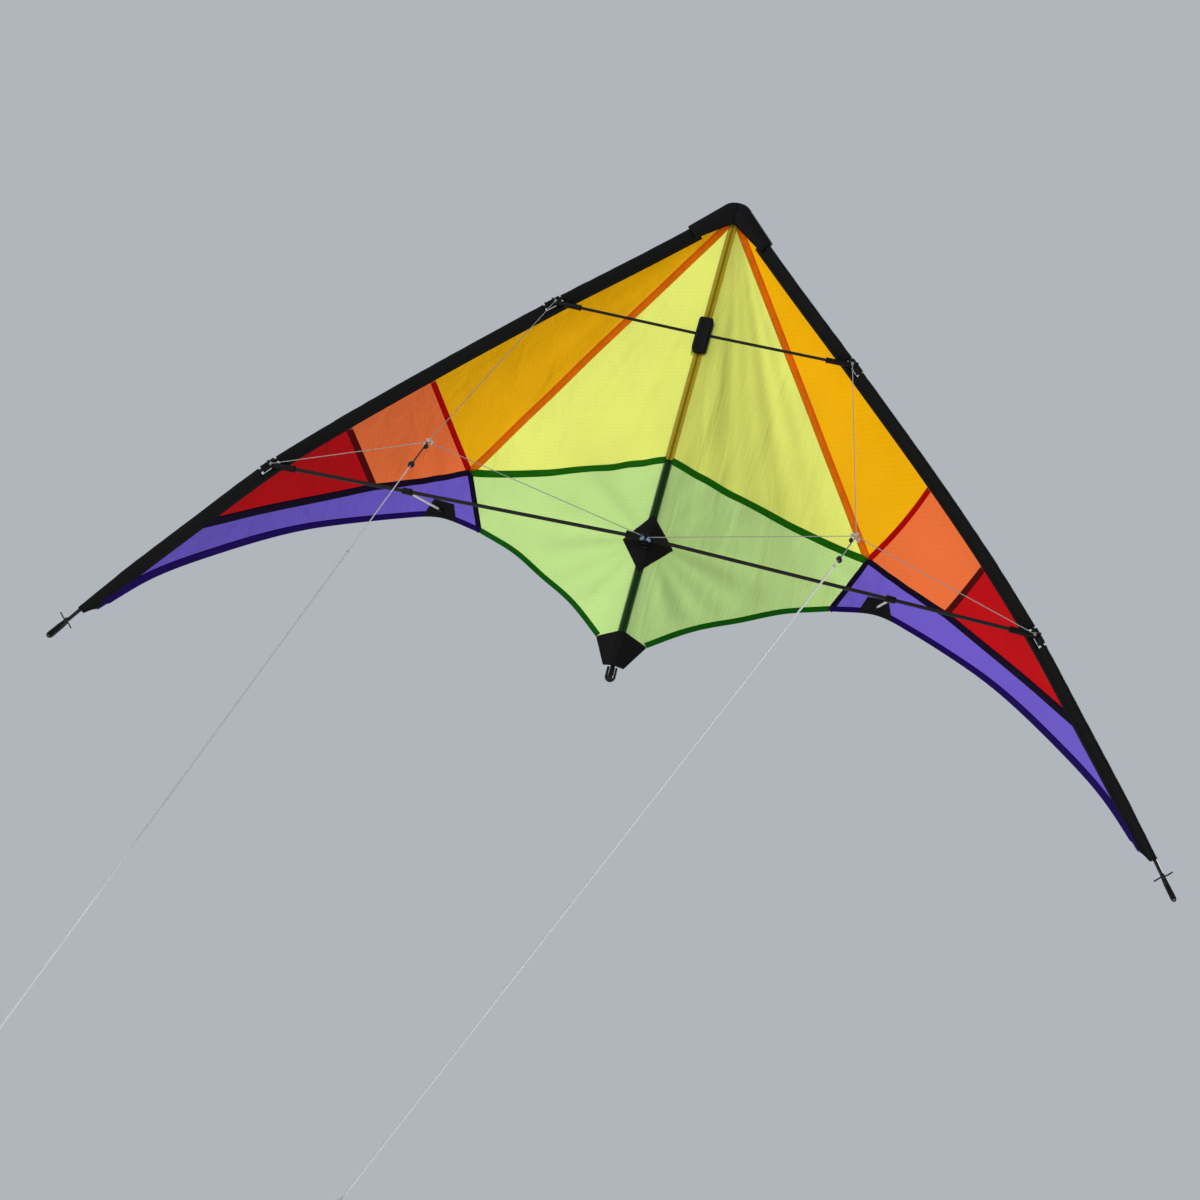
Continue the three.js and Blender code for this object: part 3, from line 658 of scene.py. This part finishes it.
CLOTH = {
    "lime": ripstop("lime ripstop", (200, 206, 112), (207, 214, 98)),
    "gold": ripstop("gold ripstop", (194, 140, 2), (216, 157, 1)),
    "salmon": ripstop("salmon ripstop", (196, 94, 54), (208, 98, 48)),
    "red": ripstop("red ripstop", (150, 0, 9), (166, 0, 8)),
    "purple": ripstop("violet ripstop", (86, 70, 168), (97, 79, 177)),
    "green": ripstop("green ripstop", (180, 206, 148), (166, 199, 116)),
}
TAPE = {
    "nose": tape("orange seam", (236, 136, 10), (255, 172, 4), through=0.6),
    "cross": tape("green seam", (30, 116, 4), (48, 160, 4), through=0.5),
    "gold": tape("red seam", (176, 2, 4), (235, 0, 0), through=0.6),
    "salmon": tape("dark red seam", (96, 2, 6), (120, 0, 4)),
    "purple": tape("dark violet seam", (18, 5, 40), (18, 2, 40)),
    "violet_hem": tape("violet hem", (32, 0, 104), (46, 0, 142)),
    "green_hem": tape("green hem", (18, 108, 12), (28, 150, 16), through=0.5),
    "black": tape("black binding", (9, 9, 11), (1, 1, 1), through=0.02, thread=3.0),
}
# the spine pocket's cloth has the rod's shadow painted down its middle (rod_shadow)
OLIVE = ripstop("olive spine cloth", (220, 192, 34), (226, 194, 14), 0.5, rod_shadow=True)
DEEP_GREEN = ripstop("deep green spine cloth", (26, 76, 12), (24, 82, 8), 0.45, rod_shadow=True)
SLEEVE = woven("black sleeve cloth", (8, 8, 10))
WEBBING = woven("black webbing", (7, 7, 9), pitch=0.0022)
VINYL = moulded("black vinyl", (9, 9, 10))
ROD = fibreglass("dark fibreglass", (12, 12, 14), rough=0.5)
STANDOFF = fibreglass("pale fibreglass", (196, 200, 196))
LINE = braid("white braided line", (246, 246, 248), 0.5)
BRIDLE = braid("grey-white bridle line", (190, 188, 182), 0.3)
TIE = braid("pale blue tie", (150, 186, 222), 0.3)
PIGTAIL = braid("black braided line", (24, 22, 26))
ELASTIC = braid("black elastic cord", (22, 22, 25))


# ---- placing
def stands_for(node):
    if node:
        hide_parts(node)


def wing_piece(obj, side, node=None, flatten=True):
    """A piece of one wing, attached to the wing's body in place of its CAD node; with flatten, it gets a
    mesh of its own.
    """
    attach(obj, f"wing_{side}")
    stands_for(node)
    if flatten:
        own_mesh(obj)


def spine_piece(obj, node=None):
    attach(obj, "spine")
    stands_for(node)


def bending_piece(obj, node):
    """A piece in place of its CAD node, with its placing baked into its mesh."""
    stands_for(node)
    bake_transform(obj)


# ---- cords
TOW_KNOTS = ((0, 0, 3), (0.2, -0.3, 1)), ((3, 1, -4), (1, 0.2, 0)), ((-5, 1.5, 0.5), (0.8, 0.3, 0.4))


def knot(name, centre, radius, material, side=1, direction=(0, 0, 1)):
    """A small knot: a cord wound round itself in a tight ball."""
    turns = 2.5
    swing = radius * 0.62
    t = np.linspace(0, 2 * math.pi * turns, 60)
    climb = radius * 0.55 * np.sin(t * 1.5 / turns * 2)
    path = np.stack([swing * np.cos(t), swing * np.sin(t), climb], axis=1)
    look = Vector(direction).to_track_quat("Z", "Y").to_matrix()
    path = path @ np.array(look).T + np.array(centre, float)
    return tube(name, path, radius * 0.42, material, side, sides=10, up=(0.3, 0.9, 0.2))


def cord_mesh(name, points, material, side, radius=BRIDLE_R, steps=40):
    path = spread(np.array(points, float), steps)
    return tube(name, path, radius, material, side, sides=10, up=(0.1, 0.3, 0.95)), path


def make_outer_bridle(side, sign, tow):
    """The leg from connector to connector through the tow point, and the tow point's knots."""
    upper, lower = (joint + (-4, -5.5, 0) for joint in (UPPER_JOINT, LOWER_JOINT))
    cord, path = cord_mesh(f"bridle_outer_cord_{side}", [upper, tow, lower], BRIDLE, sign)
    wing_piece(cord, side, f"bridle_outer_{side}", flatten=False)
    tow_knots = [
        knot(f"tow_knot_{side}_{i}", tow + shift, 2.6, LINE, sign, direction=way)
        for i, (shift, way) in enumerate(TOW_KNOTS)
    ]
    return tow_knots


def make_inner_bridle(side, sign, tow):
    """The leg from the centre T to the tow point, and its knot at the T."""
    start = np.array([4, T_Y - 7.5, 0])
    cord, path = cord_mesh(f"bridle_inner_cord_{side}", [start, tow + (-2.6, 0.6, 0)], BRIDLE, sign)
    t_knot_at = start + (0.4, -1.2, -3.5)
    spine_piece(knot(f"centre_knot_{side}", t_knot_at, 3.0, TIE, sign, direction=(0.3, 0.2, 1)))
    bending_piece(cord, f"bridle_inner_{side}")


def make_leader(side, sign, tow):
    """The short black leader below the tow point, with its stop knot and end knot."""
    way = unit(np.array(TOW_KNOT, float) - tow)
    ends = [tow + way * 2.4, TOW_KNOT]
    cord, path = cord_mesh(f"tow_leader_{side}", ends, PIGTAIL, sign, LEADER_R, 12)
    wing_piece(cord, side, f"tow_pigtail_{side}", flatten=False)
    end_knot = knot(f"leader_knot_{side}", TOW_KNOT, 4.0, PIGTAIL, sign, direction=way)
    stop_at = tow + way * 22 + (-2, 0, 1)
    stop_knot = knot(f"leader_stop_{side}", stop_at, 3.0, PIGTAIL, sign, direction=way)
    wing_piece(end_knot, side, flatten=False)
    wing_piece(stop_knot, side, flatten=False)


def make_bridle(side, sign):
    tow = np.array(TOW, float)
    tow_knots = make_outer_bridle(side, sign, tow)
    make_inner_bridle(side, sign, tow)
    make_leader(side, sign, tow)
    for piece in tow_knots:
        wing_piece(piece, side, flatten=False)


def make_flying_line(side, sign):
    """The near end of the flying line: a thin stretch up to the hitch, then the line proper."""
    way = unit(np.array(LINE_WAY[sign], float))
    start = np.array(TOW_KNOT, float) * (sign, 1, 1) + way * 2
    end = start + way * LINE_LENGTH
    path = spread(np.array([start, end]), 90)
    thin = LEADER_LENGTH[sign]
    radii = [LINE_THIN_R if np.linalg.norm(p - start) < thin else LINE_R for p in path]
    obj = tube(f"flying_line_cord_{side}", path, radii, LINE, sides=10, up=(1, 0, 0))
    wing_piece(obj, side, f"flying_line_{side}", flatten=False)
    hitch = knot(f"line_hitch_{side}", start + way * thin, 2.0, LINE, direction=way)
    end_knot = knot(f"line_end_knot_{side}", end - way * 2, 2.4, LINE, direction=way)
    wing_piece(hitch, side, flatten=False)
    wing_piece(end_knot, side, flatten=False)


# ---- sail panels
def panel_edges():
    """Each panel's bottom, right, top and left edge, grid and flat size; and the seams."""
    gold_point, salmon_point, red_point, tip_point = (edge_at(x) for x in (GOLD_X, SALMON_X, RED_X, TIP_X))
    red_top_x, nose_x = RED_X - 2.5, 9
    foot, top = (SPINE_HALF, TAIL_BOTTOM[1]), (SPINE_HALF, SAIL_TOP)
    nose, cross = line(SEAM_OUTER, NOSE_SEAM_TOP), line(SEAM_INNER, SEAM_OUTER)
    gold, salmon = line(SEAM_OUTER, gold_point), line(SEAM_MID, salmon_point)
    rear = line(SEAM_TRAILING, SEAM_OUTER)
    tail = np.vstack([line(foot, TAIL_BOTTOM, TAIL_CORNER), INNER_REAR[1:]])
    inner = curve([SEAM_OUTER, (350, 42), SEAM_MID])
    outer = curve([SEAM_MID, (436, -3), (515, -53), red_point])
    violet = np.vstack([inner, outer[1:]])
    brow = line(NOSE_SEAM_TOP, edge_at(nose_x))
    gold_edge, salmon_edge = edge_run(GOLD_X, nose_x), edge_run(GOLD_X, SALMON_X)
    red_edge, purple_top = edge_run(SALMON_X, red_top_x), np.vstack([violet, edge_run(RED_X, TIP_X)[1:]])
    red_right, purple_right = line(red_point, edge_at(red_top_x)), line(OUTER_REAR[-1], tip_point)
    panels = {
        "lime": (cross, nose, line(top, NOSE_SEAM_TOP), line(SEAM_INNER, top), (56, 70), (0.21, 0.49)),
        "gold": (gold, gold_edge, brow, nose, (26, 90), (0.11, 0.49)),
        "salmon": (inner, salmon, salmon_edge, gold, (28, 26), (0.12, 0.15)),
        "red": (outer, red_right, red_edge, salmon, (50, 20), (0.065, 0.245)),
        "purple": (OUTER_REAR, purple_right, purple_top, rear, (110, 18), (0.115, 0.55)),
        "green": (tail, rear, cross, line(foot, SEAM_INNER), (56, 56), (0.30, 0.31)),
    }
    seams = {"nose": nose, "cross": cross, "gold": gold, "salmon": salmon, "violet": violet, "rear": rear}
    return panels, seams


PANELS, SEAMS = panel_edges()


def make_panel(side, sign, name):
    *edges, (across, up), flat = PANELS[name]
    plan = coons(*edges, across, up)
    points = on_sail(plan, 0)[0].reshape(-1, 3)
    obj = new_object(f"panel_{name}_{side}", (points, grid_faces(across, up)), CLOTH[name], sign)
    if name == "lime":
        clear_hole(obj, UPPER_Z - 18, UPPER_Z + 18)
    if name == "green":
        clear_hole(obj, -7, 7)
    wing_piece(obj, side, f"sail_{name}_{side}")


def clear_hole(obj, low, high, half=5.5):
    """Opens the cloth where a fitting grips the spine through it."""
    with edited(obj) as bm:
        gone = [v for v in bm.verts if abs(v.co.x) < half * MM and low * MM < v.co.z < high * MM]
        bmesh.ops.delete(bm, geom=gone, context="VERTS")


def band(name, path, inner, outer, material, sign, thick=0.9, taper=0.0):
    """A strip of cloth that wraps the sail along a plan path, from inner to outer beside it.

    Over its last stretch, taper long, it narrows from its inner side almost to a point.
    """
    middle = spread(path, max(8, int(arc_length(path) / 6)))
    slope = unit_rows(np.gradient(middle, axis=0))
    beside = np.stack([-slope[:, 1], slope[:, 0]], axis=1)
    along = distances(middle)
    narrow = np.clip(1 - (along[-1] - along) / taper, 0, 0.9) if taper else np.zeros(len(along))
    shares = outer - (outer - inner) * (1 - narrow[:, None]) * np.linspace(1, 0, 5)[None, :]
    plan = middle[:, None] + beside[:, None] * shares[..., None]
    rounding = np.array([0.35, 1, 1, 1, 0.35]) * thick / 2
    slab = slab_mesh(*on_sail(plan, -rounding, rounding))
    flat = np.stack(np.broadcast_arrays(along[:, None], shares - inner), axis=-1).reshape(-1, 2)
    obj = new_object(name, slab, material, sign, np.vstack([flat, flat]))
    with edited(obj) as bm:
        bmesh.ops.recalc_face_normals(bm, faces=bm.faces)
    return obj


def make_seams(side, sign):
    """The seam tapes, each centred on its seam, and the hems, turned in from the trailing edge."""
    for name, half, cloth, thick in (
        ("nose", 4.8, "nose", 0.9),
        ("cross", 4.9, "cross", 1.0),
        ("gold", 4.0, "gold", 1.0),
        ("salmon", 4.6, "salmon", 0.9),
        ("violet", 3.6, "purple", 1.2),
        ("rear", 3.6, "purple", 1.1),
    ):
        strip = band(f"seam_{name}_{side}", SEAMS[name], -half, half, TAPE[cloth], sign, thick)
        wing_piece(strip, side)
    for name, seam, taper in (("green", INNER_REAR, 0), ("violet", OUTER_REAR, 16.0)):
        hem = band(f"hem_{name}_{side}", seam, -0.8, 6.2, TAPE[f"{name}_hem"], sign, 1.3, taper)
        wing_piece(hem, side)


# ---- leading edge
def sleeve_section(swell, flat):
    """Teardrop round the rod, drawn out to the flat edge that is sewn to the sail."""
    radius = SLEEVE_R * swell
    angles = np.radians(np.linspace(44, 316, 19))
    body = [(radius * math.cos(a), radius * math.sin(a)) for a in angles]
    start = [(flat, SAIL_BACK + 0.55), (flat * 0.7, SAIL_BACK + 0.75)]
    end = [(flat * 0.7, SAIL_BACK - 1.4), (flat, SAIL_BACK - 0.7)]
    return start + body + end


def make_sleeve(side, sign, name):
    """One length of the sleeve: a little gathered, and narrower towards the tip."""
    from_x, to_x = SLEEVES[name]
    steps = int((to_x - from_x) / 3.2)
    path = rod_run(from_x, to_x, steps)
    sections = []
    for i, p in enumerate(path):
        gather = noise.noise(Vector((p[0] * 0.06, p[2] * 0.06, 3.0)))
        hem = 0.05 if min(i, steps - i) < 2 else 0
        flat = np.interp(p[0], (SLEEVE_END - 17, SLEEVE_END), (SLEEVE_FLAT, SLEEVE_TIP_FLAT))
        sections.append(sleeve_section(1.02 + 0.10 * gather + hem, flat))
    shape, uvs = swept(path, sections)
    obj = new_object(f"sleeve_{name}_cloth_{side}", shape, SLEEVE, sign, uvs)
    wing_piece(obj, side, f"sleeve_{name}_{side}")


def make_leading_edge(side, sign):
    rod = tube(f"leading_rod_body_{side}", rod_run(ROD_START_X, ROD_END_X, 92), ROD_R, ROD, sign)
    wing_piece(rod, side, f"leading_rod_{side}")
    for name in SLEEVES:
        make_sleeve(side, sign, name)
    run = edge_run(40, TIP_X + 10, 10.0)
    wing_piece(band(f"sleeve_border_{side}", run, -4.2, 4.4, TAPE["black"], sign, 1.5, taper=20.0), side)


def make_connector(side, sign, name, x, joint, aim, radius, reach):
    """A moulded connector on the leading edge, and the bridle's loop, tie and neck on it."""
    centre, along = rod_frame(x)
    way = unit(np.array(aim, float) - joint)
    clamp_profile, socket_profile = profile_of(22, 5.2, 0.5), profile_of(reach, radius + 1.75, 0.5)
    clamp = turned("clamp", centre - along * 11, centre + along * 11, clamp_profile, VINYL, sign)
    socket = turned("socket", joint + way * 0.5, joint + way * reach, socket_profile, VINYL, sign)
    obj = merged(f"connector_{name}_body_{side}", [clamp, socket])
    wing_piece(obj, side, f"connector_{name}_{side}")
    beside = unit(np.cross(along, (0, 1, 0)))
    rise = np.cross(beside, along)
    loop_path = []
    for k in range(26):
        turn = 2 * math.pi * k / 24
        out = 6.3 * (math.cos(turn) * beside + math.sin(turn) * rise)
        loop_path.append(centre + along * (-3 + 0.05 * k) + out)
    loop = tube(f"bridle_loop_{name}_{side}", loop_path, 0.7, PIGTAIL, sign, sides=8, up=along)
    tie_at = joint + (-4, -4.6, 0.5)
    tie = knot(f"bridle_tie_{name}_{side}", tie_at, 2.2, BRIDLE, sign, direction=(1, 0.2, 0.3))
    for piece in (loop, tie):
        wing_piece(piece, side)
    neck_end = joint + (-4, 0, 0)
    neck_path = spread(line(neck_end + (0, -5.5, 0), neck_end + (0, 3, 0)), 6)
    neck = tube(f"bridle_neck_{name}_{side}", neck_path, 0.8, BRIDLE, sign, up=(1, 0, 0))
    wing_piece(neck, side, flatten=False)


def make_spreaders(side, sign):
    upper_aim, lower_aim = np.array([0, UPPER_Y, UPPER_Z]), np.array([0, T_Y, 0])
    for name, joint, aim, radius in (
        ("upper", UPPER_JOINT, upper_aim, UPPER_ROD_R),
        ("lower", LOWER_JOINT, lower_aim, ROD_R),
    ):
        way = unit(aim - joint)
        path = spread(np.array([aim - way * 1.5, joint + way * 9]), 24)
        rod = tube(f"spreader_{name}_rod_{side}", path, radius, ROD, sign)
        wing_piece(rod, side, f"spreader_{name}_{side}")
    make_connector(side, sign, "upper", UPPER_JOINT[0], UPPER_JOINT, upper_aim, UPPER_ROD_R, 40)
    make_connector(side, sign, "lower", LOWER_JOINT[0], LOWER_JOINT, lower_aim, ROD_R, 38)


# ---- standoffs
def standoff_frame():
    """The clip's place on the lower spreader, that spreader's direction, and the standoff's own."""
    aim = unit(np.array([0, T_Y, 0]) - LOWER_JOINT)
    clip = LOWER_JOINT + aim * ((LOWER_JOINT[0] - STANDOFF_X) / -aim[0])
    foot = np.array([STANDOFF_FOOT[0], float(sail_depth(*STANDOFF_FOOT)) - 1.4, STANDOFF_FOOT[1]])
    reach = float(np.linalg.norm(foot - clip))
    return clip, aim, (foot - clip) / reach, reach


def make_standoff(side, sign):
    clip, aim, way, reach = standoff_frame()
    up = (1, 0, 0)
    saddle = turned("ring", clip - aim * 6.5, clip + aim * 6.5, profile_of(13, 4.6, 0.4), VINYL, sign)
    stub_profile, cap_profile = profile_of(13, 2.9, 0.3, 1.5, 0.5), profile_of(12, 2.8, 0.2, 1.5, 0.5)
    stub = turned("stub", clip + way * 2, clip + way * 15, stub_profile, VINYL, sign, up)
    clip_piece = merged(f"standoff_clip_body_{side}", [saddle, stub])
    rod_path = spread(np.array([clip + way * 5.5, clip + way * (reach - 6)]), 12)
    rod = tube(f"standoff_rod_body_{side}", rod_path, STANDOFF_R, STANDOFF, sign, up=up)
    cap_ends = clip + way * (reach - 15), clip + way * (reach - 3)
    cap = turned(f"standoff_cap_body_{side}", *cap_ends, cap_profile, VINYL, sign, up)
    for piece, node, slot in (clip_piece, "clip", "vinyl"), (rod, "rod", "standoff"), (cap, "cap", "vinyl"):
        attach(piece, f"standoff_{side}")
        stands_for(f"standoff_{node}_{side}")


def make_edge_patch(side, sign):
    low = [(x, np.interp(x, OUTER_REAR[:, 0], OUTER_REAR[:, 1]) - 0.6) for x in np.linspace(281, 329, 9)]
    inner_top, outer_top = (290, 29), (318, 30)
    edges = line(*low), line(low[-1], outer_top), line(inner_top, outer_top), line(low[0], inner_top)
    slab = slab_mesh(*on_sail(coons(*edges, 16, 8), -1.15, 1.0))
    obj = rounded(new_object(f"edge_patch_cloth_{side}", slab, WEBBING, sign), 0.4, 2)
    wing_piece(obj, side, f"edge_patch_{side}")


# ---- tips
def make_tip(side, sign):
    """The nocked cap on the rod's end, and the elastic hooked over it with its knotted tail."""
    end, along = rod_frame(ROD_END_X)
    beside = unit(np.cross((0, 1, 0), along))
    lay = 0.4 * beside + 0.92 * np.cross(along, beside)
    nock_profile = profile_of(20, 3.5, 0.2, 4.0)
    nock = turned(f"tip_nock_body_{side}", end - along * 14, end + along * 6, nock_profile, VINYL, sign)
    wing_piece(nock, side, f"tip_nock_{side}")
    path = [end - along * 24 + lay * 3.4, end - along * 14 + lay * 4.6]
    for k in range(17):
        turn = math.pi * k / 16
        path.append(end + along * (3.4 + 4.9 * math.sin(turn)) + lay * 4.9 * math.cos(turn))
    path += [end - along * 14 - lay * 4.6, end - along * 24 - lay * 3.4]
    up = np.cross(along, lay)
    bungee = tube(f"tip_bungee_cord_{side}", path, 1.2, ELASTIC, sign, sides=12, up=up)
    wing_piece(bungee, side, f"tip_bungee_{side}")
    cross = [
        end - along * (25 + 0.5 * math.sin(k)) + beside * (k * 3.4) + (0, -3.6, 0)
        for k in range(-4, 5)
    ]
    tail = tube(f"tip_cord_ends_{side}", cross, 1.0, ELASTIC, sign, sides=8, up=along)
    tie_at = end - along * 25 + (0, -3.4, 0)
    tie = knot(f"tip_knot_{side}", tie_at, 3.6, ELASTIC, sign, direction=beside)
    for piece in (tail, tie):
        wing_piece(piece, side)


# ---- spine and centre fittings
SPINE_SLEEVES = (
    ("nose", 323.3, SAIL_TOP, OLIVE, "nose", "lime_cloth"),
    ("middle_upper", 117, 272.7, OLIVE, "middle", "lime_cloth"),
    ("middle_lower", 12.3, 117, DEEP_GREEN, "middle", "green_cloth"),
    ("tail", -175, -12.3, DEEP_GREEN, "tail", "green_cloth"),
)


def make_spine():
    """The spine rod, and the pocket that holds it: round behind, flat in front."""
    path = spread(line((0, SPINE_Y, SPINE_BOTTOM), (0, SPINE_Y, SPINE_TOP)), 40)
    spine_piece(tube("spine_rod_body", path, ROD_R, ROD), "spine_rod")
    back = np.radians(np.linspace(-4, 184, 15))
    flat = [(-5.4, -3.1), (-2.8, -4.1), (0, -4.3), (2.8, -4.1), (5.4, -3.1)]
    for name, low, high, material, node, slot in SPINE_SLEEVES:
        steps = max(8, int((high - low) / 6))
        path = [(0, SPINE_Y, low + (high - low) * i / steps) for i in range(steps + 1)]
        sections = []
        for i in range(steps + 1):
            radius = SLEEVE_R * (1 + 0.04 * noise.noise(Vector((0, 0, i * 0.9))))
            sections.append([(radius * math.cos(a), 0.2 + radius * math.sin(a)) for a in back] + flat)
        shape, uvs = swept(path, sections)
        obj = new_object(f"spine_sleeve_{name}_cloth", shape, material, uvs=uvs)
        spine_piece(obj, f"spine_sleeve_{node}")


def make_patch(name, half_at, low, high, gap=None):
    """A black patch over the sail's centre: one flap on each wing and a band on the spine."""
    least = SPINE_HALF + 0.2
    z = np.linspace(low, high, 25)
    half = np.array([max(half_at(value), least) for value in z])
    x = SPINE_HALF + (half[None, :] - SPINE_HALF) * np.linspace(0, 1, 15)[:, None]
    slab = slab_mesh(*on_sail(np.stack(np.broadcast_arrays(x, z), axis=-1), -1.3, -0.35))
    for side, sign in SIDES.items():
        flap = new_object(f"{name}_flap_{side}", slab, WEBBING, sign)
        wing_piece(flap, side, name)
    spans = [(low, -gap), (gap, high)] if gap else [(low, high)]
    for i, span in enumerate(spans):
        z = np.linspace(*span, 13)
        half = np.array([min(half_at(value), least) for value in z])
        x = np.linspace(-1, 1, 7)[:, None] * np.maximum(half, 0.4)
        slab = slab_mesh(*(np.stack(np.broadcast_arrays(x, y, z), axis=-1) for y in (-1.35, -0.45)))
        spine_piece(new_object(f"{name}_band_{i}", slab, WEBBING), name)


def diamond_half(z):
    return 35 * (1 - abs(z) / (45 if z < 0 else 36))


def tail_half(z):
    return np.interp(z, (-177, -138, -129), (14, 34.5, 5))


def block(name, low, high, material, edge):
    """A rounded moulded block between two corners."""
    verts = [(x, y, z) for x in (low[0], high[0]) for y in (low[1], high[1]) for z in (low[2], high[2])]
    faces = [(0, 1, 3, 2), (4, 6, 7, 5), (0, 4, 5, 1), (2, 3, 7, 6), (0, 2, 6, 4), (1, 5, 7, 3)]
    return rounded(new_object(name, (verts, faces), material), edge)


def make_centre_t():
    """The T: a clamp on the spine, a hub and web before it, and a ribbed arm for each lower spreader."""
    clamp = turned("t_clamp", (0, SPINE_Y, -12), (0, SPINE_Y, 12), profile_of(24, 5.7, 0.3), VINYL)
    barrel = (0, 4.6), (0.04, 5.2), (0.1, 5.6), (0.9, 5.6), (0.96, 5.2), (1, 4.6)
    hub = turned("t_hub", (-9, T_Y, 0), (9, T_Y, 0), barrel, VINYL)
    web = block("t_web", (-5, T_Y, -8), (5, SPINE_Y, 8), VINYL, 1.2)
    spine_piece(merged("centre_t_hub", [clamp, hub, web]), "centre_t")
    profile = [(0, 4.7), (0.05, 5.1)]
    for k in range(1, 7):
        share = 0.1 + 0.11 * k
        profile += [(share, 5.15), (share + 0.02, 4.9), (share + 0.07, 4.9), (share + 0.09, 5.15)]
    profile += [(0.93, 5.4), (0.98, 5.4), (1, 4.8)]
    for side, sign in SIDES.items():
        arm = turned(f"centre_t_arm_{side}", (7, T_Y, 0), (T_ARM, T_Y, 0), profile, VINYL, sign)
        bending_piece(arm, "centre_t")


def make_upper_cross():
    """The flat cross fitting of the upper spreader, in two halves that meet at the spine."""
    width, corner = CROSS_HALF_WIDTH, 4.5
    low, high = UPPER_Z - CROSS_HALF_HEIGHT, UPPER_Z + CROSS_HALF_HEIGHT
    x = np.linspace(0, width, 9)
    drops = [corner - math.sqrt(max(corner**2 - max(xi - (width - corner), 0) ** 2, 0)) for xi in x]
    z = np.array([np.linspace(low + drop, high - drop, 27) for drop in drops])
    x = np.broadcast_to(x[:, None], z.shape)
    edge = np.minimum(np.minimum(width - x, z - low), high - z)
    dish = 1.1 * np.clip((2.2 - edge) / 2.2, 0, 1) ** 2
    rim = 0.5 * hump(edge - 3.2, 0.8)
    slab = slab_mesh(*(np.stack([x, y, z], axis=-1) for y in (-10.5 + dish - rim + 0.45, 7.5 - dish)))
    for side, sign in SIDES.items():
        half = new_object(f"upper_cross_half_{side}", slab, VINYL, sign)
        bending_piece(half, "upper_cross")


def make_nose():
    """Webbing folded over the sleeves at the nose, in two halves."""
    leg, along = rod_frame(54)
    beside = np.array([along[2], 0, -along[0]]) / math.hypot(along[0], along[2])
    outer, inner = ((p[0], p[2]) for p in (leg - beside * 8.5, leg + beside * 12))
    brow = line((0, 498.5), (6, 498), (12, 496), (17, 492.5), (21, 488), outer)
    edges = line((0, SAIL_TOP), inner), line(inner, outer), brow, line((0, SAIL_TOP), (0, 497.5))
    across, up = 24, 14
    plan = coons(*edges, across, up)
    u, v = np.linspace(0, 1, across + 1)[:, None], np.linspace(0, 1, up + 1)
    puff = 5.2 * ((np.sin(math.pi * v) ** 0.5) * np.minimum(1, 0.75 + u))
    x, z = plan[..., 0], plan[..., 1]
    slab = slab_mesh(*(np.stack([x, y, z], axis=-1) for y in (-4.3 - puff, -3.6 + puff)))
    for side, sign in SIDES.items():
        half = new_object(f"nose_webbing_half_{side}", slab, WEBBING, sign)
        bending_piece(half, "nose_webbing")


def make_tail():
    """The cap on the spine's foot, its elastic loop and the loop's knot."""
    cap_ends = [(0, SPINE_Y, SPINE_BOTTOM + rise) for rise in (8, -5)]
    cap = turned("tail_cap_body", *cap_ends, profile_of(13, 3.4, 0.3), VINYL)
    spine_piece(cap, "tail_cap")
    path = [(5.6, SPINE_Y, SPINE_BOTTOM + 6)]
    for k in range(17):
        turn = math.pi * k / 16
        path.append((5.6 * math.cos(turn), SPINE_Y, SPINE_BOTTOM - 6.5 - 6.4 * math.sin(turn)))
    path.append((-5.6, SPINE_Y, SPINE_BOTTOM + 6))
    bungee = tube("tail_bungee_cord", path, 1.7, ELASTIC, sides=12)
    spine_piece(bungee, "tail_bungee")
    knot_at = (0, SPINE_Y - 1, SPINE_BOTTOM - 8.5)
    spine_piece(knot("tail_knot", knot_at, 3.6, ELASTIC, direction=(1, 0, 0.3)))


# ---- stage
def make_stage():
    reach, drop = 90000, -1750
    corners = [(-reach, -reach, drop), (reach, -reach, drop), (reach, reach, drop), (-reach, reach, drop)]
    paint = moulded("pale floor", (226, 226, 222), 0.7, 0.05)
    new_object("floor", (corners, [(0, 1, 2, 3)]), paint, smooth=False)
    world = bpy.data.worlds.new("studio")
    world.use_nodes = True
    sky = world.node_tree.nodes["Background"].inputs
    sky[0].default_value = (0.80, 0.85, 0.92, 1)
    sky[1].default_value = 0.55
    bpy.context.scene.world = world
    bpy.context.scene.view_settings.view_transform = "Standard"
    add_light("sun_behind", "SUN", (1.9, 2.8, 2.5), 3.5, (1.0, 0.98, 0.93)).angle = 0.03
    add_light("fill_front", "AREA", (-2.6, -3.0, 1.6), 40, (1, 1, 1)).size = 2.0


def add_light(name, kind, place, power, colour):
    """A light that looks at the kite; gives back its data."""
    data = bpy.data.lights.new(name, kind)
    data.energy = power
    data.color = colour
    obj = linked(name, data)
    obj.location = place
    obj.rotation_euler = (Vector((0, 0, 0.1)) - Vector(place)).to_track_quat("-Z", "Y").to_euler()
    return data


make_camera()
for side, sign in SIDES.items():
    make_bridle(side, sign)
    make_flying_line(side, sign)
for side, sign in SIDES.items():
    for name in PANELS:
        make_panel(side, sign, name)
    make_seams(side, sign)
    make_leading_edge(side, sign)
    make_spreaders(side, sign)
    make_standoff(side, sign)
    make_edge_patch(side, sign)
    make_tip(side, sign)
make_spine()
make_patch("centre_patch", diamond_half, -44, 36, gap=11)
make_patch("tail_patch", tail_half, -177, -129)
make_centre_t()
make_upper_cross()
make_nose()
make_tail()
make_stage()
